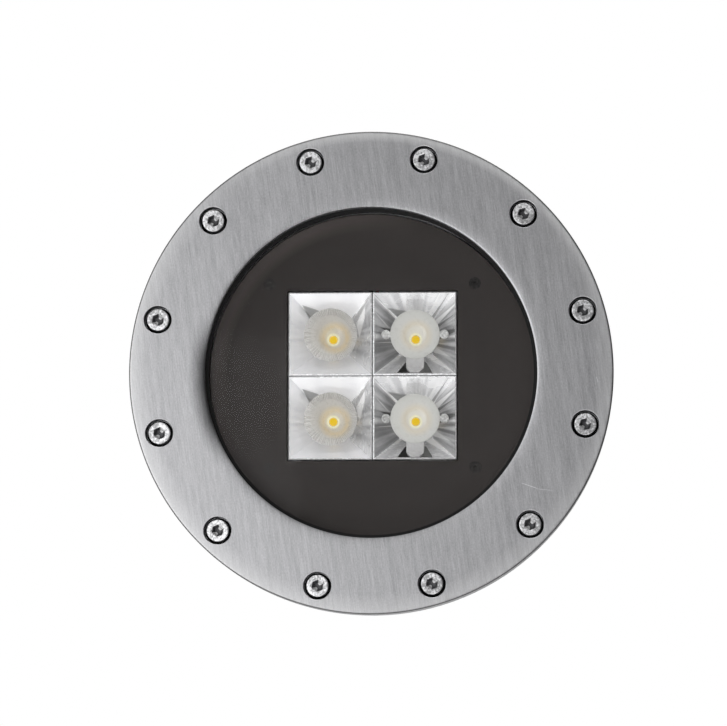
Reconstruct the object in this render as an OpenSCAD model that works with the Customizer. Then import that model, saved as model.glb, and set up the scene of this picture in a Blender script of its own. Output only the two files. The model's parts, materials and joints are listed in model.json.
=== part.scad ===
// Recessed underwater light: a sealed steel pot with a bolted front ring, a thick
// cover glass, four LEDs in square reflectors, and the driver behind them.
// Millimetres. The light faces -Y, +Z is up, and the origin is on the light's axis in
// the plane of the flange's rear face, where it meets the wall.
// Inside the modules z runs out of the light's face, x to the right and y up.

/* [Front ring] */
// Width of the ring's face, from the opening to the outer edge
ring_w = 34.5; // [33:0.5:42]
// Thickness of the front ring
ring_t = 12; // [11.5:0.5:14]
// Distance from the side of the light window to the edge of the opening
view_margin = 36.4; // [32:0.1:44]
// Thickness of the lip that holds the glass down
lip_t = 5; // [4:0.5:6]
// Width of the soft roll at the ring's outer edge
rim_roll_w = 5; // [2:0.5:6]
// Height of the soft roll at the ring's outer edge
rim_roll_h = 2.5; // [1:0.5:4]
// Width of the soft roll at the edge of the opening
mouth_roll_w = 8; // [4:0.5:10]
// Height of the soft roll at the edge of the opening
mouth_roll_h = 2; // [1:0.2:3]

/* [Ring screws] */
// Screws round the ring; every second one also holds the light to the wall
screw_count = 12; // [8:2:14]
// Distance from the ring's edge to the screw circle
screw_inset = 10; // [9:0.5:11]
// Turn of the screw circle from the light window's right-hand side, in degrees
screw_turn = 16; // [0:1:29]
// Thread diameter of the ring screws
screw_d = 6; // [5:0.5:6.5]
// Diameter of the screw heads
screw_head_d = 10; // [8.5:0.5:11]
// Height of the screw heads
screw_head_h = 6; // [5:0.5:6.5]
// Hexagon socket of the screw heads, across flats
screw_socket_w = 5; // [4:0.5:5.5]
// Depth of the hexagon socket
screw_socket_depth = 3.2; // [2.5:0.1:4]
// Length of the screws that end in the flange
short_screw_len = 16; // [14:1:17]
// Length of the screws that run on into the wall
long_screw_len = 30; // [25:1:40]
// Diameter of the counterbore round each head
counterbore_d = 12.7; // [12.5:0.1:13.2]
// How far the heads lie below the ring's face
head_sink = 0.6; // [0.2:0.1:1]
// Outside diameter of the washers
washer_d = 12; // [11:0.1:12.2]
// Thickness of the washers
washer_t = 1.6; // [1:0.1:1.8]

/* [Glass and gasket] */
// Thickness of the cover glass
glass_t = 10; // [8:0.5:12]
// How far the glass runs under the lip
glass_overlap = 6.5; // [5:0.5:8]
// Bevel on the edges of the glass
glass_bevel = 1; // [0.5:0.1:1.5]
// Wall of the U-shaped gasket round the glass
gasket_t = 2; // [1.5:0.1:2.5]
// Width of gasket that shows inside the opening
gasket_show = 1.6; // [0.8:0.1:2.5]

/* [Housing] */
// Height of the gasket's seat above the wall
seat_h = 5; // [4:0.5:7]
// How far the flange's edge lies inside the ring's edge
flange_inset = 0.5; // [0:0.1:2]
// How far the pot lies inside the gasket's edge
pot_inset = 6; // [5:0.5:7]
// Depth of the pot behind the wall's face
pot_depth = 84; // [82:1:110]
// Wall of the pot
pot_wall = 3; // [2:0.5:4]
// Thickness of the pot's back
pot_back_t = 4; // [3:0.5:6]
// Outside radius of the pot's rear corner
pot_corner_r = 7; // [5:0.5:10]

/* [Mask plate] */
// Thickness of the dark mask plate
mask_t = 2; // [1.5:0.1:2.4]
// Air between the mask plate and the glass
mask_air = 0.8; // [0.4:0.1:1.5]
// Distance of the mask screws from the window, sideways
mask_screw_side = 7.9; // [6.5:0.1:9]
// Distance of the mask screws from the window, up and down
mask_screw_rise = 3.2; // [2:0.1:5]

/* [Optics] */
// Width of one square reflector
reflector_w = 38.6; // [37:0.1:39]
// Gap between neighbouring reflectors
reflector_gap = 0.2; // [0.1:0.1:0.5]
// Depth of a reflector
reflector_depth = 20.5; // [18:0.5:22]
// Wall of a reflector, measured sideways
reflector_wall = 0.7; // [0.5:0.1:1.2]
// Width of the square hole at the foot of a reflector
reflector_foot_w = 15.2; // [14:0.1:16]
// Height of the legs under a reflector
reflector_leg_h = 4.3; // [4:0.1:6]
// Gap between a left-hand lens, which is plain and round, and its reflector
lens_side_gap = 3.6; // [2.5:0.1:4.5]
// Gap between the lugs of a right-hand lens and its reflector
lens_lug_gap = 0.4; // [0.3:0.1:0.8]
// Thickness of a lens disc
lens_disc_t = 1.3; // [1:0.1:1.8]
// How far a lens disc lies below the reflector's rim
lens_drop = 3.8; // [3:0.1:4.2]
// Radius of the round lugs beside a right-hand lens
lens_lug_r = 2.1; // [1.5:0.1:2.3]
// Width of a lens arm where it leaves the disc
lens_arm_w = 8.2; // [6:0.2:9]
// Width of an LED's base
led_base_w = 6; // [5:0.1:6.2]
// Height of an LED's base
led_base_h = 1.2; // [0.8:0.1:1.5]
// Diameter of the yellow phosphor disc on an LED
phosphor_d = 4.3; // [3.5:0.1:4.8]

/* [Light engine] */
// How far the square LED board reaches past the reflectors
led_board_margin = 0.3; // [0.1:0.1:1.5]
// Thickness of the LED board
led_board_t = 1.6; // [1:0.1:2]
// Thickness of the thermal pad
pad_t = 0.5; // [0.3:0.1:1]
// Thickness of the heat sink's plate
sink_t = 10; // [9:0.5:12]
// Length of the heat sink's skirt along the pot's wall
sink_skirt_h = 20; // [10:1:24]
// Wall of the heat sink's skirt
sink_skirt_wall = 5; // [3:0.5:6]
// Turn of the pillars up and down from the light's sides, in degrees
pillar_turn = 21; // [18:1:24]
// Gap between the pillars and the heat sink's skirt
pillar_gap = 1.2; // [0.8:0.1:2]
// Pillars, across flats
pillar_w = 8; // [7:0.5:9]

/* [Driver] */
// Gap between the driver board and the pillars' bosses
driver_gap = 5.6; // [4:0.1:8]
// Height of the driver board
driver_h = 64; // [60:1:66]
// Thickness of the driver board
driver_t = 1.6; // [1:0.1:2]
// Height of the spacers under the driver board
spacer_h = 10; // [10:0.5:12]
// Diameter of the inductor
inductor_d = 20; // [16:1:22]
// Height of the inductor
inductor_h = 11; // [8:1:14]
// Diameter of the capacitors
capacitor_d = 10; // [8:1:11]
// Height of the capacitors
capacitor_h = 15; // [10:1:17]
// Thickness of the wires between the driver and the LED board
wire_d = 1.8; // [1.2:0.1:2]

/* [Cable gland] */
// Distance of the cable gland's axis from the pot's side
gland_inset = 21; // [20.5:0.5:24]
// Diameter of the cable that the gland takes
cable_d = 10; // [8:0.5:11]
// Wall of the gland's rubber seal
seal_wall = 2.8; // [2.2:0.1:3.2]
// Wall of the gland's body outside the seal, out to the thread
gland_wall = 2.2; // [1.8:0.1:2.6]
// Wall of the gland's nuts outside the thread
gland_nut_wall = 2; // [1.6:0.1:2.4]

/* [Hidden] */

$fn = 64;
// Steps in a soft roll or a rounded corner of a turned profile
arc_steps = 8;
// Overrun of every cut past the surface that it opens
cut = 1;
// Radial clearance of a screw in its tapped hole
thread_gap = 0.05;
// Height of the ring screws' thread over their shank, which is as thick as the thread's
// middle; a thread in its own tapped hole is left at the shank's size
screw_thread_h = 0.325;
screw_shank_d = screw_d - 2 * screw_thread_h;
// Radial clearance of a screw in a plain hole
hole_gap = 0.3;
// Sliding clearance of parts that drop into the pot or the pockets
slide_gap = 0.3;

// The light window round the four reflectors
cell_pitch = reflector_w + reflector_gap;
cell_half = cell_pitch / 2;
window_gap = 0.4;
window_w = cell_pitch + reflector_w + 2 * window_gap;
window_corner_r = 0.8;

// Radii, from the window out to the ring's edge and back to the pot
view_r = window_w / 2 + view_margin;
ring_r = view_r + ring_w;
glass_r = view_r + glass_overlap;
gasket_r = glass_r + gasket_t;
pocket_r = gasket_r + slide_gap;
screw_circle_r = ring_r - screw_inset;
pot_r = gasket_r - pot_inset;
seat_r = pot_r - pot_wall;
gasket_rear_gap = 0.2;
mask_gap = 0.6;
mask_r = seat_r - mask_gap;
sink_r = seat_r - slide_gap;

// Levels, from the wall out to the ring's face and back to the heat sink
gasket_back_z = seat_h;
glass_back_z = gasket_back_z + gasket_t;
glass_front_z = glass_back_z + glass_t;
lip_z = glass_front_z + gasket_t;
face_z = lip_z + lip_t;
flange_t = face_z - ring_t;
mask_front_z = glass_back_z - mask_air;
mask_back_z = mask_front_z - mask_t;
rim_sink = 0.4;
rim_z = mask_front_z - rim_sink;
reflector_low_z = rim_z - reflector_depth;
board_top_z = reflector_low_z - reflector_leg_h;
board_back_z = board_top_z - led_board_t;
sink_top_z = board_back_z - pad_t;
sink_low_z = sink_top_z - sink_t;
back_z = -pot_depth;
floor_z = back_z + pot_back_t;
washer_z = face_z - head_sink - screw_head_h - washer_t;
head_z = washer_z + washer_t;

// Optical cells
mouth_half = reflector_w / 2 - reflector_wall;
foot_half = reflector_foot_w / 2;
wall_slope = (mouth_half - foot_half) / reflector_depth;
lens_gap = 0.3;
lens_ledge = 1;
lens_cone_steps = 6;
lens_cone_bulge = 1.3;
lens_lug_reach = 2;
lens_neck_w = 2.4;
lens_arm_t = 0.9;
lens_arm_tip_share = 0.54;
lens_arm_tip_drop = 0.9;
lens_skirt_wall = 1.7;
lens_skirt_gap = 0.45;
lens_skirt_r = led_base_w / sqrt(2) + lens_skirt_gap;
lens_foot_r = lens_skirt_r + lens_skirt_wall;
lens_dish_share = 0.5;
lens_dish_depth = 0.6;
lens_hollow_share = 0.45;
leg_r = 1;
peg_r = 0.8;
peg_gap = 0.1;
peg_short = 0.2;
leg_place = foot_half + reflector_wall / 2;
lens_top_z = rim_z - lens_drop;
lens_disc_z = lens_top_z - lens_disc_t;
lens_room = wall_half(lens_drop + lens_disc_t);
left_lens_r = lens_room - lens_side_gap;
right_lens_r = lens_room - lens_lug_gap - lens_lug_r - lens_lug_reach;
phosphor_h = 0.4;

// Small screws of the light engine
m3_d = 3;
m3_head_d = 5.5;
m3_head_h = 2;
m3_socket_w = 2;
m3_socket_depth = 1.2;
m3_len = 8;
m3_short_len = 6;
m5_d = 5;
m5_head_d = 8.5;
m5_head_h = 5;
m5_socket_w = 4;
m5_socket_depth = 2.6;
m5_len = 16;
csk_head_d = 5.6;
csk_head_h = 1.3;
csk_socket_depth = 0.8;
screw_edge_share = 0.1;
tip_edge_share = 0.25;
standoff_w = 5.5;
stud_len = 6;
board_screw_inset = 3.5;
led_board_w = cell_pitch + reflector_w + 2 * led_board_margin;
pad_inset = 1;
mask_screw_x = window_w / 2 + mask_screw_side;
mask_screw_y = window_w / 2 + mask_screw_rise;
tap_spare = 1.5;

// Pillars and bosses on the pot's back
boss_r = 6;
boss_h = 6;
boss_floor = 0.6;
pillar_circle_r = sink_r - sink_skirt_wall - pillar_w / 2 / cos(30) - pillar_gap;
pillar_x = pillar_circle_r * cos(pillar_turn);
pillar_y = pillar_circle_r * sin(pillar_turn);
driver_w = 2 * (pillar_x - boss_r - driver_gap);
weld_stud_h = 4;
driver_hole_inset = 4;

// Register between the pot and the flange: the pot's front end is turned down a little,
// and the flange's bore has a bevel that the weld fills
ledge_t = 2;
spigot_h = seat_h - ledge_t;
spigot_step = 1;
weld_bevel_out = 0.1;
weld_bevel = spigot_step + weld_bevel_out;

// Passage of the wires through the heat sink
wire_hole_r = 4;
wire_hole_out = 13;
wire_hole_y = led_board_w / 2 + wire_hole_out;
wire_half_gap = 1.4;
grommet_wall = 1.2;
grommet_lip_w = 1.2;
grommet_lip_h = 1;
wire_lead_in = 4;

// Sockets of the two wires
socket_w = 8;
socket_d = 6;
socket_h = 5;
led_socket_inset = 1;
output_x_share = 0.34;
output_y_share = 0.3;

// Driver parts, placed as shares of the board's width and height from its middle
inductor_share = [-0.27, 0.12];
inductor_bore_share = 0.4;
winding_turns = 14;
winding_span = 335;
winding_points = 8;
winding_sides = 6;
winding_wire_d = 1;
winding_gap = 0.15;
winding_corner_share = 0.84;
capacitor_shares = [[-0.04, 0.28], [0.1, 0.28], [0.1, 0.02]];
chip_shares = [[-0.3, -0.28], [0.3, -0.05], [0.38, -0.3], [-0.08, 0.02]];
chip_sizes = [[9, 7, 2], [10, 9, 4.5], [6, 6, 2], [6, 5, 1.6]];
terminal_ways = 3;
terminal_pitch = 6;
terminal_depth = 9;
terminal_h = 11;
terminal_y_share = -0.34;
terminal_entry_w = 3.6;
terminal_entry_h = 4;
terminal_entry_depth = 5;
terminal_entry_rise = 1.5;
terminal_screw_r = 1.7;
terminal_screw_depth = 3;
terminal_slot_w = 0.6;

// Cable gland, from the pot's back outwards
gland_drop = pot_r - gland_inset;
seal_r = cable_d / 2 + seal_wall;
gland_thread_d = 2 * (seal_r + gland_wall);
gland_w = gland_thread_d + 2 * gland_nut_wall;
gland_neck_step = 0.5;
gland_flange_h = 6;
gland_neck_h = 10;
gland_neck_r = gland_thread_d / 2 - gland_neck_step;
gland_locknut_h = 5;
gland_thread_spare = 1;
gland_hole_gap = 0.1;
o_ring_r = 0.75;
o_ring_groove_gap = 0.3;
seal_len = 14;
seal_gap = 0.1;
seal_seat_depth = 7;
gland_bore_wall = 1.4;
gland_bore_r = seal_r - gland_bore_wall;
gland_cap_h = 13;
gland_dome_h = 5.5;
thrust_ring_t = 1;
gland_mouth_gap = 1.4;
gland_mouth_r = cable_d / 2 + gland_mouth_gap;
gland_dome_r_share = 0.68;
gland_cap_gap = 0.8;

// Half the flats' width turned into the corner radius of a hexagon
function hex_r(flats) = flats / 2 / cos(30);

// Points on part of an ellipse round [x, y]
function arc(x, y, rx, ry, from, to) =
    [for (i = [0:arc_steps]) let (a = from + (to - from) * i / arc_steps)
        [x + rx * cos(a), y + ry * sin(a)]];

// Half width inside a reflector, so far below its rim
function wall_half(drop) = mouth_half - drop * wall_slope;

// The light stands upright: what is drawn along z comes to face -Y
module facing() {
    rotate([90, 0, 0]) children();
}

// Children at the screw places start, start + step and so on round the ring
module round_ring(start, step) {
    for (i = [start:step:screw_count - 1])
        rotate([0, 0, screw_turn + i * 360 / screw_count])
            translate([screw_circle_r, 0, 0]) children();
}

// Children at the four corners of a rectangle of half sides x and y
module four(x, y) {
    for (sx = [-1, 1], sy = [-1, 1])
        translate([sx * x, sy * y, 0]) children();
}

// A flat square of side w with round corners
module rounded_square(w, r) {
    square([w, w - 2 * r], center = true);
    square([w - 2 * r, w], center = true);
    for (sx = [-1, 1], sy = [-1, 1])
        translate([sx * (w / 2 - r), sy * (w / 2 - r)]) circle(r);
}

// A square taper from half width low at the bottom to half width high at the top
module square_taper(h, low, high) {
    rotate([0, 0, 45])
        cylinder(h = h, r1 = low * sqrt(2), r2 = high * sqrt(2), $fn = 4);
}

// A socket-head screw; its head sits on z = 0 and its shank hangs below
module cap_screw(d, head_d, head_h, socket_w, socket_depth, length) {
    edge = head_h * screw_edge_share;
    tip = d * tip_edge_share;
    difference() {
        rotate_extrude()
            polygon([[0, -length], [d / 2 - tip, -length], [d / 2, tip - length], [d / 2, 0],
                [head_d / 2, 0], [head_d / 2, head_h - edge], [head_d / 2 - edge, head_h], [0, head_h]]);
        translate([0, 0, head_h - socket_depth])
            cylinder(h = socket_depth + cut, r = hex_r(socket_w), $fn = 6);
    }
}

// A countersunk screw whose head is flush with z = 0
module countersunk_screw(length) {
    difference() {
        rotate_extrude()
            polygon([[0, -length], [m3_d / 2, -length], [m3_d / 2, -csk_head_h],
                [csk_head_d / 2, 0], [0, 0]]);
        translate([0, 0, -csk_socket_depth])
            cylinder(h = csk_socket_depth + cut, r = hex_r(m3_socket_w), $fn = 6);
    }
}

module front_ring() {
    color("silver") facing() difference() {
        rotate_extrude($fn = 180)
            polygon(concat([[pocket_r, flange_t], [ring_r, flange_t]],
                arc(ring_r - rim_roll_w, face_z - rim_roll_h, rim_roll_w, rim_roll_h, 0, 90),
                arc(view_r + mouth_roll_w, face_z - mouth_roll_h, mouth_roll_w, mouth_roll_h, 90, 180),
                [[view_r, lip_z], [pocket_r, lip_z]]));
        round_ring(0, 1) {
            translate([0, 0, washer_z]) cylinder(h = face_z - washer_z + cut, d = counterbore_d);
            translate([0, 0, flange_t - cut])
                cylinder(h = ring_t + cut, r = screw_d / 2 + hole_gap);
        }
    }
}

module face_screw(length) {
    translate([0, 0, head_z]) cap_screw(screw_shank_d, screw_head_d, screw_head_h,
        screw_socket_w, screw_socket_depth, length);
}

module ring_screws() {
    color("gainsboro") facing() round_ring(0, 2) face_screw(short_screw_len);
}

// Their thread starts where they leave the flange and enter the wall
module mounting_screws() {
    end_z = head_z - long_screw_len;
    tip = screw_d * tip_edge_share;
    color("gainsboro") facing() round_ring(1, 2) {
        face_screw(long_screw_len - tip);
        rotate_extrude() polygon([[0, end_z], [screw_d / 2 - tip, end_z],
            [screw_d / 2, end_z + tip], [screw_d / 2, 0], [0, 0]]);
    }
}

module screw_washers() {
    color("#1a1a1a") facing() round_ring(0, 1) translate([0, 0, washer_z]) difference() {
        cylinder(h = washer_t, d = washer_d);
        translate([0, 0, -cut]) cylinder(h = washer_t + 2 * cut, r = screw_d / 2 + hole_gap);
    }
}

module cover_glass() {
    color("lightblue", 0.3) facing() rotate_extrude($fn = 180)
        polygon([[0, glass_back_z], [glass_r - glass_bevel, glass_back_z],
            [glass_r, glass_back_z + glass_bevel], [glass_r, glass_front_z - glass_bevel],
            [glass_r - glass_bevel, glass_front_z], [0, glass_front_z]]);
}

module glass_gasket() {
    front_r = view_r - gasket_show;
    rear_r = seat_r + gasket_rear_gap;
    color("#141414") facing() rotate_extrude($fn = 180)
        polygon([[rear_r, gasket_back_z], [gasket_r, gasket_back_z], [gasket_r, lip_z],
            [front_r, lip_z], [front_r, glass_front_z], [glass_r, glass_front_z],
            [glass_r, glass_back_z], [rear_r, glass_back_z]]);
}

module housing_flange() {
    flange_r = ring_r - flange_inset;
    bore_r = pot_r - spigot_step + thread_gap;
    color("darkgray") facing() difference() {
        rotate_extrude($fn = 180)
            polygon([[seat_r, spigot_h], [bore_r, spigot_h], [bore_r, weld_bevel],
                [bore_r + weld_bevel, 0], [flange_r, 0], [flange_r, flange_t],
                [pocket_r, flange_t], [pocket_r, gasket_back_z], [seat_r, gasket_back_z]]);
        round_ring(0, 2) translate([0, 0, -cut])
            cylinder(h = flange_t + 2 * cut, r = screw_shank_d / 2 + thread_gap);
        round_ring(1, 2) translate([0, 0, -cut])
            cylinder(h = flange_t + 2 * cut, r = screw_d / 2 + hole_gap);
    }
}

module housing_pot() {
    inner_corner_r = pot_corner_r - pot_wall;
    color("darkgray") facing() difference() {
        union() {
            rotate_extrude($fn = 180)
                polygon(concat([[seat_r, spigot_h]],
                    arc(seat_r - inner_corner_r, floor_z + inner_corner_r,
                        inner_corner_r, inner_corner_r, 0, -90),
                    [[0, floor_z], [0, back_z]],
                    arc(pot_r - pot_corner_r, back_z + pot_corner_r, pot_corner_r, pot_corner_r, -90, 0),
                    [[pot_r, 0], [pot_r - spigot_step, 0], [pot_r - spigot_step, spigot_h]]));
            four(pillar_x, pillar_y) translate([0, 0, floor_z - pot_back_t / 2])
                cylinder(h = boss_h + pot_back_t / 2, r = boss_r);
            driver_places() translate([0, 0, floor_z - pot_back_t / 2])
                cylinder(h = weld_stud_h + pot_back_t / 2, d = m3_d);
        }
        four(pillar_x, pillar_y) translate([0, 0, floor_z + boss_floor])
            cylinder(h = boss_h + cut, r = m5_d / 2 + thread_gap);
        translate([0, -gland_drop, back_z - cut])
            cylinder(h = pot_back_t + 2 * cut, r = gland_thread_d / 2 + gland_hole_gap);
    }
}

module mask_plate() {
    color("#3c3736") facing() difference() {
        translate([0, 0, mask_back_z]) cylinder(h = mask_t, r = mask_r, $fn = 180);
        translate([0, 0, mask_back_z - cut]) linear_extrude(height = mask_t + 2 * cut)
            rounded_square(window_w, window_corner_r);
        four(mask_screw_x, mask_screw_y) {
            translate([0, 0, mask_back_z - cut])
                cylinder(h = mask_t + 2 * cut, r = m3_d / 2 + thread_gap);
            translate([0, 0, mask_front_z]) rotate_extrude()
                polygon([[0, -csk_head_h], [m3_d / 2 + thread_gap, -csk_head_h],
                    [csk_head_d / 2 + thread_gap, 0], [csk_head_d / 2 + thread_gap, cut], [0, cut]]);
        }
    }
}

module mask_screws() {
    color("#2a2626") facing() four(mask_screw_x, mask_screw_y) translate([0, 0, mask_front_z])
        countersunk_screw(m3_short_len);
}

// Hexagon standoffs with a threaded stud below and a tapped hole above
module mask_standoffs() {
    bore_depth = m3_short_len - mask_t + tap_spare;
    color("goldenrod") facing() four(mask_screw_x, mask_screw_y) difference() {
        union() {
            translate([0, 0, sink_top_z])
                cylinder(h = mask_back_z - sink_top_z, r = hex_r(standoff_w), $fn = 6);
            translate([0, 0, sink_top_z - stud_len]) cylinder(h = stud_len + cut, d = m3_d);
        }
        translate([0, 0, mask_back_z - bore_depth])
            cylinder(h = bore_depth + cut, r = m3_d / 2 + thread_gap);
    }
}

// One square reflector round the cell's own axis, with legs and pegs into the board
module reflector() {
    difference() {
        union() {
            translate([0, 0, reflector_low_z])
                square_taper(reflector_depth, foot_half + reflector_wall, mouth_half + reflector_wall);
            four(leg_place, leg_place) {
                translate([0, 0, board_top_z])
                    cylinder(h = reflector_leg_h + reflector_wall, r = leg_r);
                translate([0, 0, board_back_z + peg_short])
                    cylinder(h = led_board_t + reflector_leg_h, r = peg_r);
            }
        }
        translate([0, 0, reflector_low_z - cut * wall_slope])
            square_taper(reflector_depth + 2 * cut * wall_slope,
                foot_half - cut * wall_slope * wall_slope, mouth_half + cut * wall_slope * wall_slope);
    }
}

module reflector_at(x, y) {
    color("whitesmoke") facing() translate([x * cell_half, y * cell_half, 0]) reflector();
}

// Half width of a lens's cone at a share of its height
function cone_r(low_r, high_r, share) = high_r - (high_r - low_r) * pow(1 - share, lens_cone_bulge);

// One collimator lens round the cell's own axis: a disc on a bowl-shaped cone, with a
// skirt that stands on the board round the LED and a hollow that lets the LED in
module lens(disc_r) {
    dish_r = disc_r * lens_dish_share;
    hollow_z = board_top_z + (lens_top_z - board_top_z) * lens_hollow_share;
    cone = [for (i = [0:lens_cone_steps]) let (share = i / lens_cone_steps)
        [cone_r(lens_foot_r, disc_r - lens_ledge, share),
            reflector_low_z + (lens_disc_z - reflector_low_z) * share]];
    rotate_extrude()
        polygon(concat([[lens_skirt_r, board_top_z], [lens_foot_r, board_top_z]], cone,
            [[disc_r, lens_disc_z], [disc_r, lens_top_z], [dish_r, lens_top_z],
            [dish_r * lens_dish_share, lens_top_z - lens_dish_depth], [0, lens_top_z - lens_dish_depth],
            [0, hollow_z], [lens_skirt_r * lens_dish_share, hollow_z], [lens_skirt_r, reflector_low_z]]));
}

// The outline of both lens arms from above, tapering towards their tips
module lens_arm_plan(reach) {
    tip_w = lens_arm_w * lens_arm_tip_share;
    polygon([for (end = [[-tip_w, reach], [tip_w, reach], [lens_arm_w, 0], [tip_w, -reach],
        [-tip_w, -reach], [-lens_arm_w, 0]]) [end[0] / 2, end[1]]]);
}

// An arm that runs out from the disc and up along the reflector's wall, seen from its side
module lens_arm_side(disc_r) {
    start_y = disc_r - lens_ledge;
    foot_y = wall_half(rim_z - lens_disc_z) - lens_gap;
    tip_y = wall_half(lens_arm_tip_drop) - lens_gap;
    tip_z = rim_z - lens_arm_tip_drop;
    polygon([[start_y, lens_disc_z], [foot_y, lens_disc_z], [tip_y, tip_z],
        [tip_y - lens_arm_t, tip_z], [foot_y - lens_arm_t, lens_top_z], [start_y, lens_top_z]]);
}

// A lens with a round lug on either side and an arm above and below
module lens_with_arms(disc_r) {
    lens(disc_r);
    translate([0, 0, lens_disc_z]) for (side = [-1, 1]) {
        translate([side * (disc_r + lens_lug_reach), 0, 0]) cylinder(h = lens_disc_t, r = lens_lug_r);
        translate([side * (disc_r + lens_lug_reach / 2), 0, lens_disc_t / 2])
            cube([lens_lug_reach + lens_ledge, lens_neck_w, lens_disc_t], center = true);
    }
    intersection() {
        for (turn = [0, 180]) rotate([0, 0, turn]) rotate([90, 0, 90])
            linear_extrude(height = 2 * lens_arm_w, center = true) lens_arm_side(disc_r);
        translate([0, 0, lens_disc_z - cut]) linear_extrude(height = rim_z - lens_disc_z + cut)
            lens_arm_plan(mouth_half);
    }
}

module lens_at(x, y) {
    color("white", 0.7) facing() translate([x * cell_half, y * cell_half, 0]) {
        if (x < 0) lens(left_lens_r);
        else lens_with_arms(right_lens_r);
    }
}

module led_base_at(x, y) {
    color("white") facing() translate([x * cell_half, y * cell_half, board_top_z + led_base_h / 2])
        cube([led_base_w, led_base_w, led_base_h], center = true);
}

module led_phosphor_at(x, y) {
    color("gold") facing() translate([x * cell_half, y * cell_half, board_top_z + led_base_h])
        cylinder(h = phosphor_h, d = phosphor_d);
}

// Children at the screws of the LED board: its four corners and its middle
module board_places() {
    place = led_board_w / 2 - board_screw_inset;
    four(place, place) children();
    children();
}

module led_board() {
    color("ivory") facing() difference() {
        translate([0, 0, board_back_z + led_board_t / 2])
            cube([led_board_w, led_board_w, led_board_t], center = true);
        board_places() translate([0, 0, board_back_z - cut])
            cylinder(h = led_board_t + 2 * cut, r = m3_d / 2 + hole_gap);
        four(cell_half, cell_half) four(leg_place, leg_place) translate([0, 0, board_back_z - cut])
            cylinder(h = led_board_t + 2 * cut, r = peg_r + peg_gap);
    }
}

module led_board_screws() {
    color("gainsboro") facing() board_places() translate([0, 0, board_top_z])
        cap_screw(m3_d, m3_head_d, m3_head_h, m3_socket_w, m3_socket_depth, m3_len);
}

module led_board_socket() {
    color("#222222") facing()
        translate([0, led_board_w / 2 - led_socket_inset - socket_d / 2, board_top_z + socket_h / 2])
            cube([socket_w, socket_d, socket_h], center = true);
}

module thermal_pad() {
    pad_w = led_board_w - 2 * pad_inset;
    color("lightgray") facing() difference() {
        translate([0, 0, sink_top_z + pad_t / 2]) cube([pad_w, pad_w, pad_t], center = true);
        board_places() translate([0, 0, sink_top_z - cut])
            cylinder(h = pad_t + 2 * cut, r = m3_d / 2 + hole_gap);
    }
}

module heat_sink() {
    color("lightsteelblue") facing() difference() {
        rotate_extrude($fn = 180)
            polygon([[0, sink_low_z], [sink_r - sink_skirt_wall, sink_low_z],
                [sink_r - sink_skirt_wall, sink_low_z - sink_skirt_h],
                [sink_r, sink_low_z - sink_skirt_h], [sink_r, sink_top_z], [0, sink_top_z]]);
        four(pillar_x, pillar_y) translate([0, 0, sink_low_z - cut])
            cylinder(h = sink_t + 2 * cut, r = m5_d / 2 + hole_gap);
        board_places() translate([0, 0, board_top_z - m3_len - tap_spare])
            cylinder(h = m3_len + tap_spare, r = m3_d / 2 + thread_gap);
        four(mask_screw_x, mask_screw_y) translate([0, 0, sink_top_z - stud_len - tap_spare])
            cylinder(h = stud_len + tap_spare + cut, r = m3_d / 2 + thread_gap);
        translate([0, wire_hole_y, sink_low_z - cut]) cylinder(h = sink_t + 2 * cut, r = wire_hole_r);
    }
}

module heat_sink_screws() {
    color("gainsboro") facing() four(pillar_x, pillar_y) translate([0, 0, sink_top_z])
        cap_screw(m5_d, m5_head_d, m5_head_h, m5_socket_w, m5_socket_depth, m5_len);
}

// Hexagon pillars from the pot's bosses up to the heat sink
module heat_sink_pillars() {
    low_z = floor_z + boss_h;
    stud = boss_h - boss_floor - thread_gap;
    bore_depth = m5_len - sink_t + tap_spare;
    color("darkkhaki") facing() four(pillar_x, pillar_y) difference() {
        union() {
            translate([0, 0, low_z]) cylinder(h = sink_low_z - low_z, r = hex_r(pillar_w), $fn = 6);
            translate([0, 0, low_z - stud]) cylinder(h = stud + cut, d = m5_d);
        }
        translate([0, 0, sink_low_z - bore_depth])
            cylinder(h = bore_depth + cut, r = m5_d / 2 + thread_gap);
    }
}

// Levels of the driver board
driver_low_z = floor_z + spacer_h;
driver_top_z = driver_low_z + driver_t;

// Children at the four mounting holes of the driver board
module driver_places() {
    four(driver_w / 2 - driver_hole_inset, driver_h / 2 - driver_hole_inset) children();
}

module driver_board() {
    color("darkgreen") facing() difference() {
        translate([0, 0, driver_low_z + driver_t / 2])
            cube([driver_w, driver_h, driver_t], center = true);
        driver_places() translate([0, 0, driver_low_z - cut])
            cylinder(h = driver_t + 2 * cut, r = m3_d / 2 + hole_gap);
    }
}

module driver_spacers() {
    color("goldenrod") facing() driver_places() difference() {
        translate([0, 0, floor_z]) cylinder(h = spacer_h, r = hex_r(standoff_w), $fn = 6);
        translate([0, 0, floor_z - cut]) cylinder(h = spacer_h + 2 * cut, r = m3_d / 2 + thread_gap);
    }
}

module driver_screws() {
    room = driver_t + spacer_h - weld_stud_h - tap_spare;
    color("gainsboro") facing() driver_places() translate([0, 0, driver_top_z])
        cap_screw(m3_d, m3_head_d, m3_head_h, m3_socket_w, m3_socket_depth, min(m3_short_len, room));
}

// Children on the driver board at a pair of shares of its width and height
module on_driver(share) {
    translate([share[0] * driver_w, share[1] * driver_h, driver_top_z]) children();
}

// Half the width and half the height of a turn of the inductor's winding, to its centre line,
// and the radius of the circle through the middle of all the turns
turn_half_w = inductor_d * (1 - inductor_bore_share) / 4 - winding_wire_d / 2;
turn_half_h = inductor_h / 2 - winding_wire_d / 2;
turn_circle_r = inductor_d * (1 + inductor_bore_share) / 4;

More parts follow.
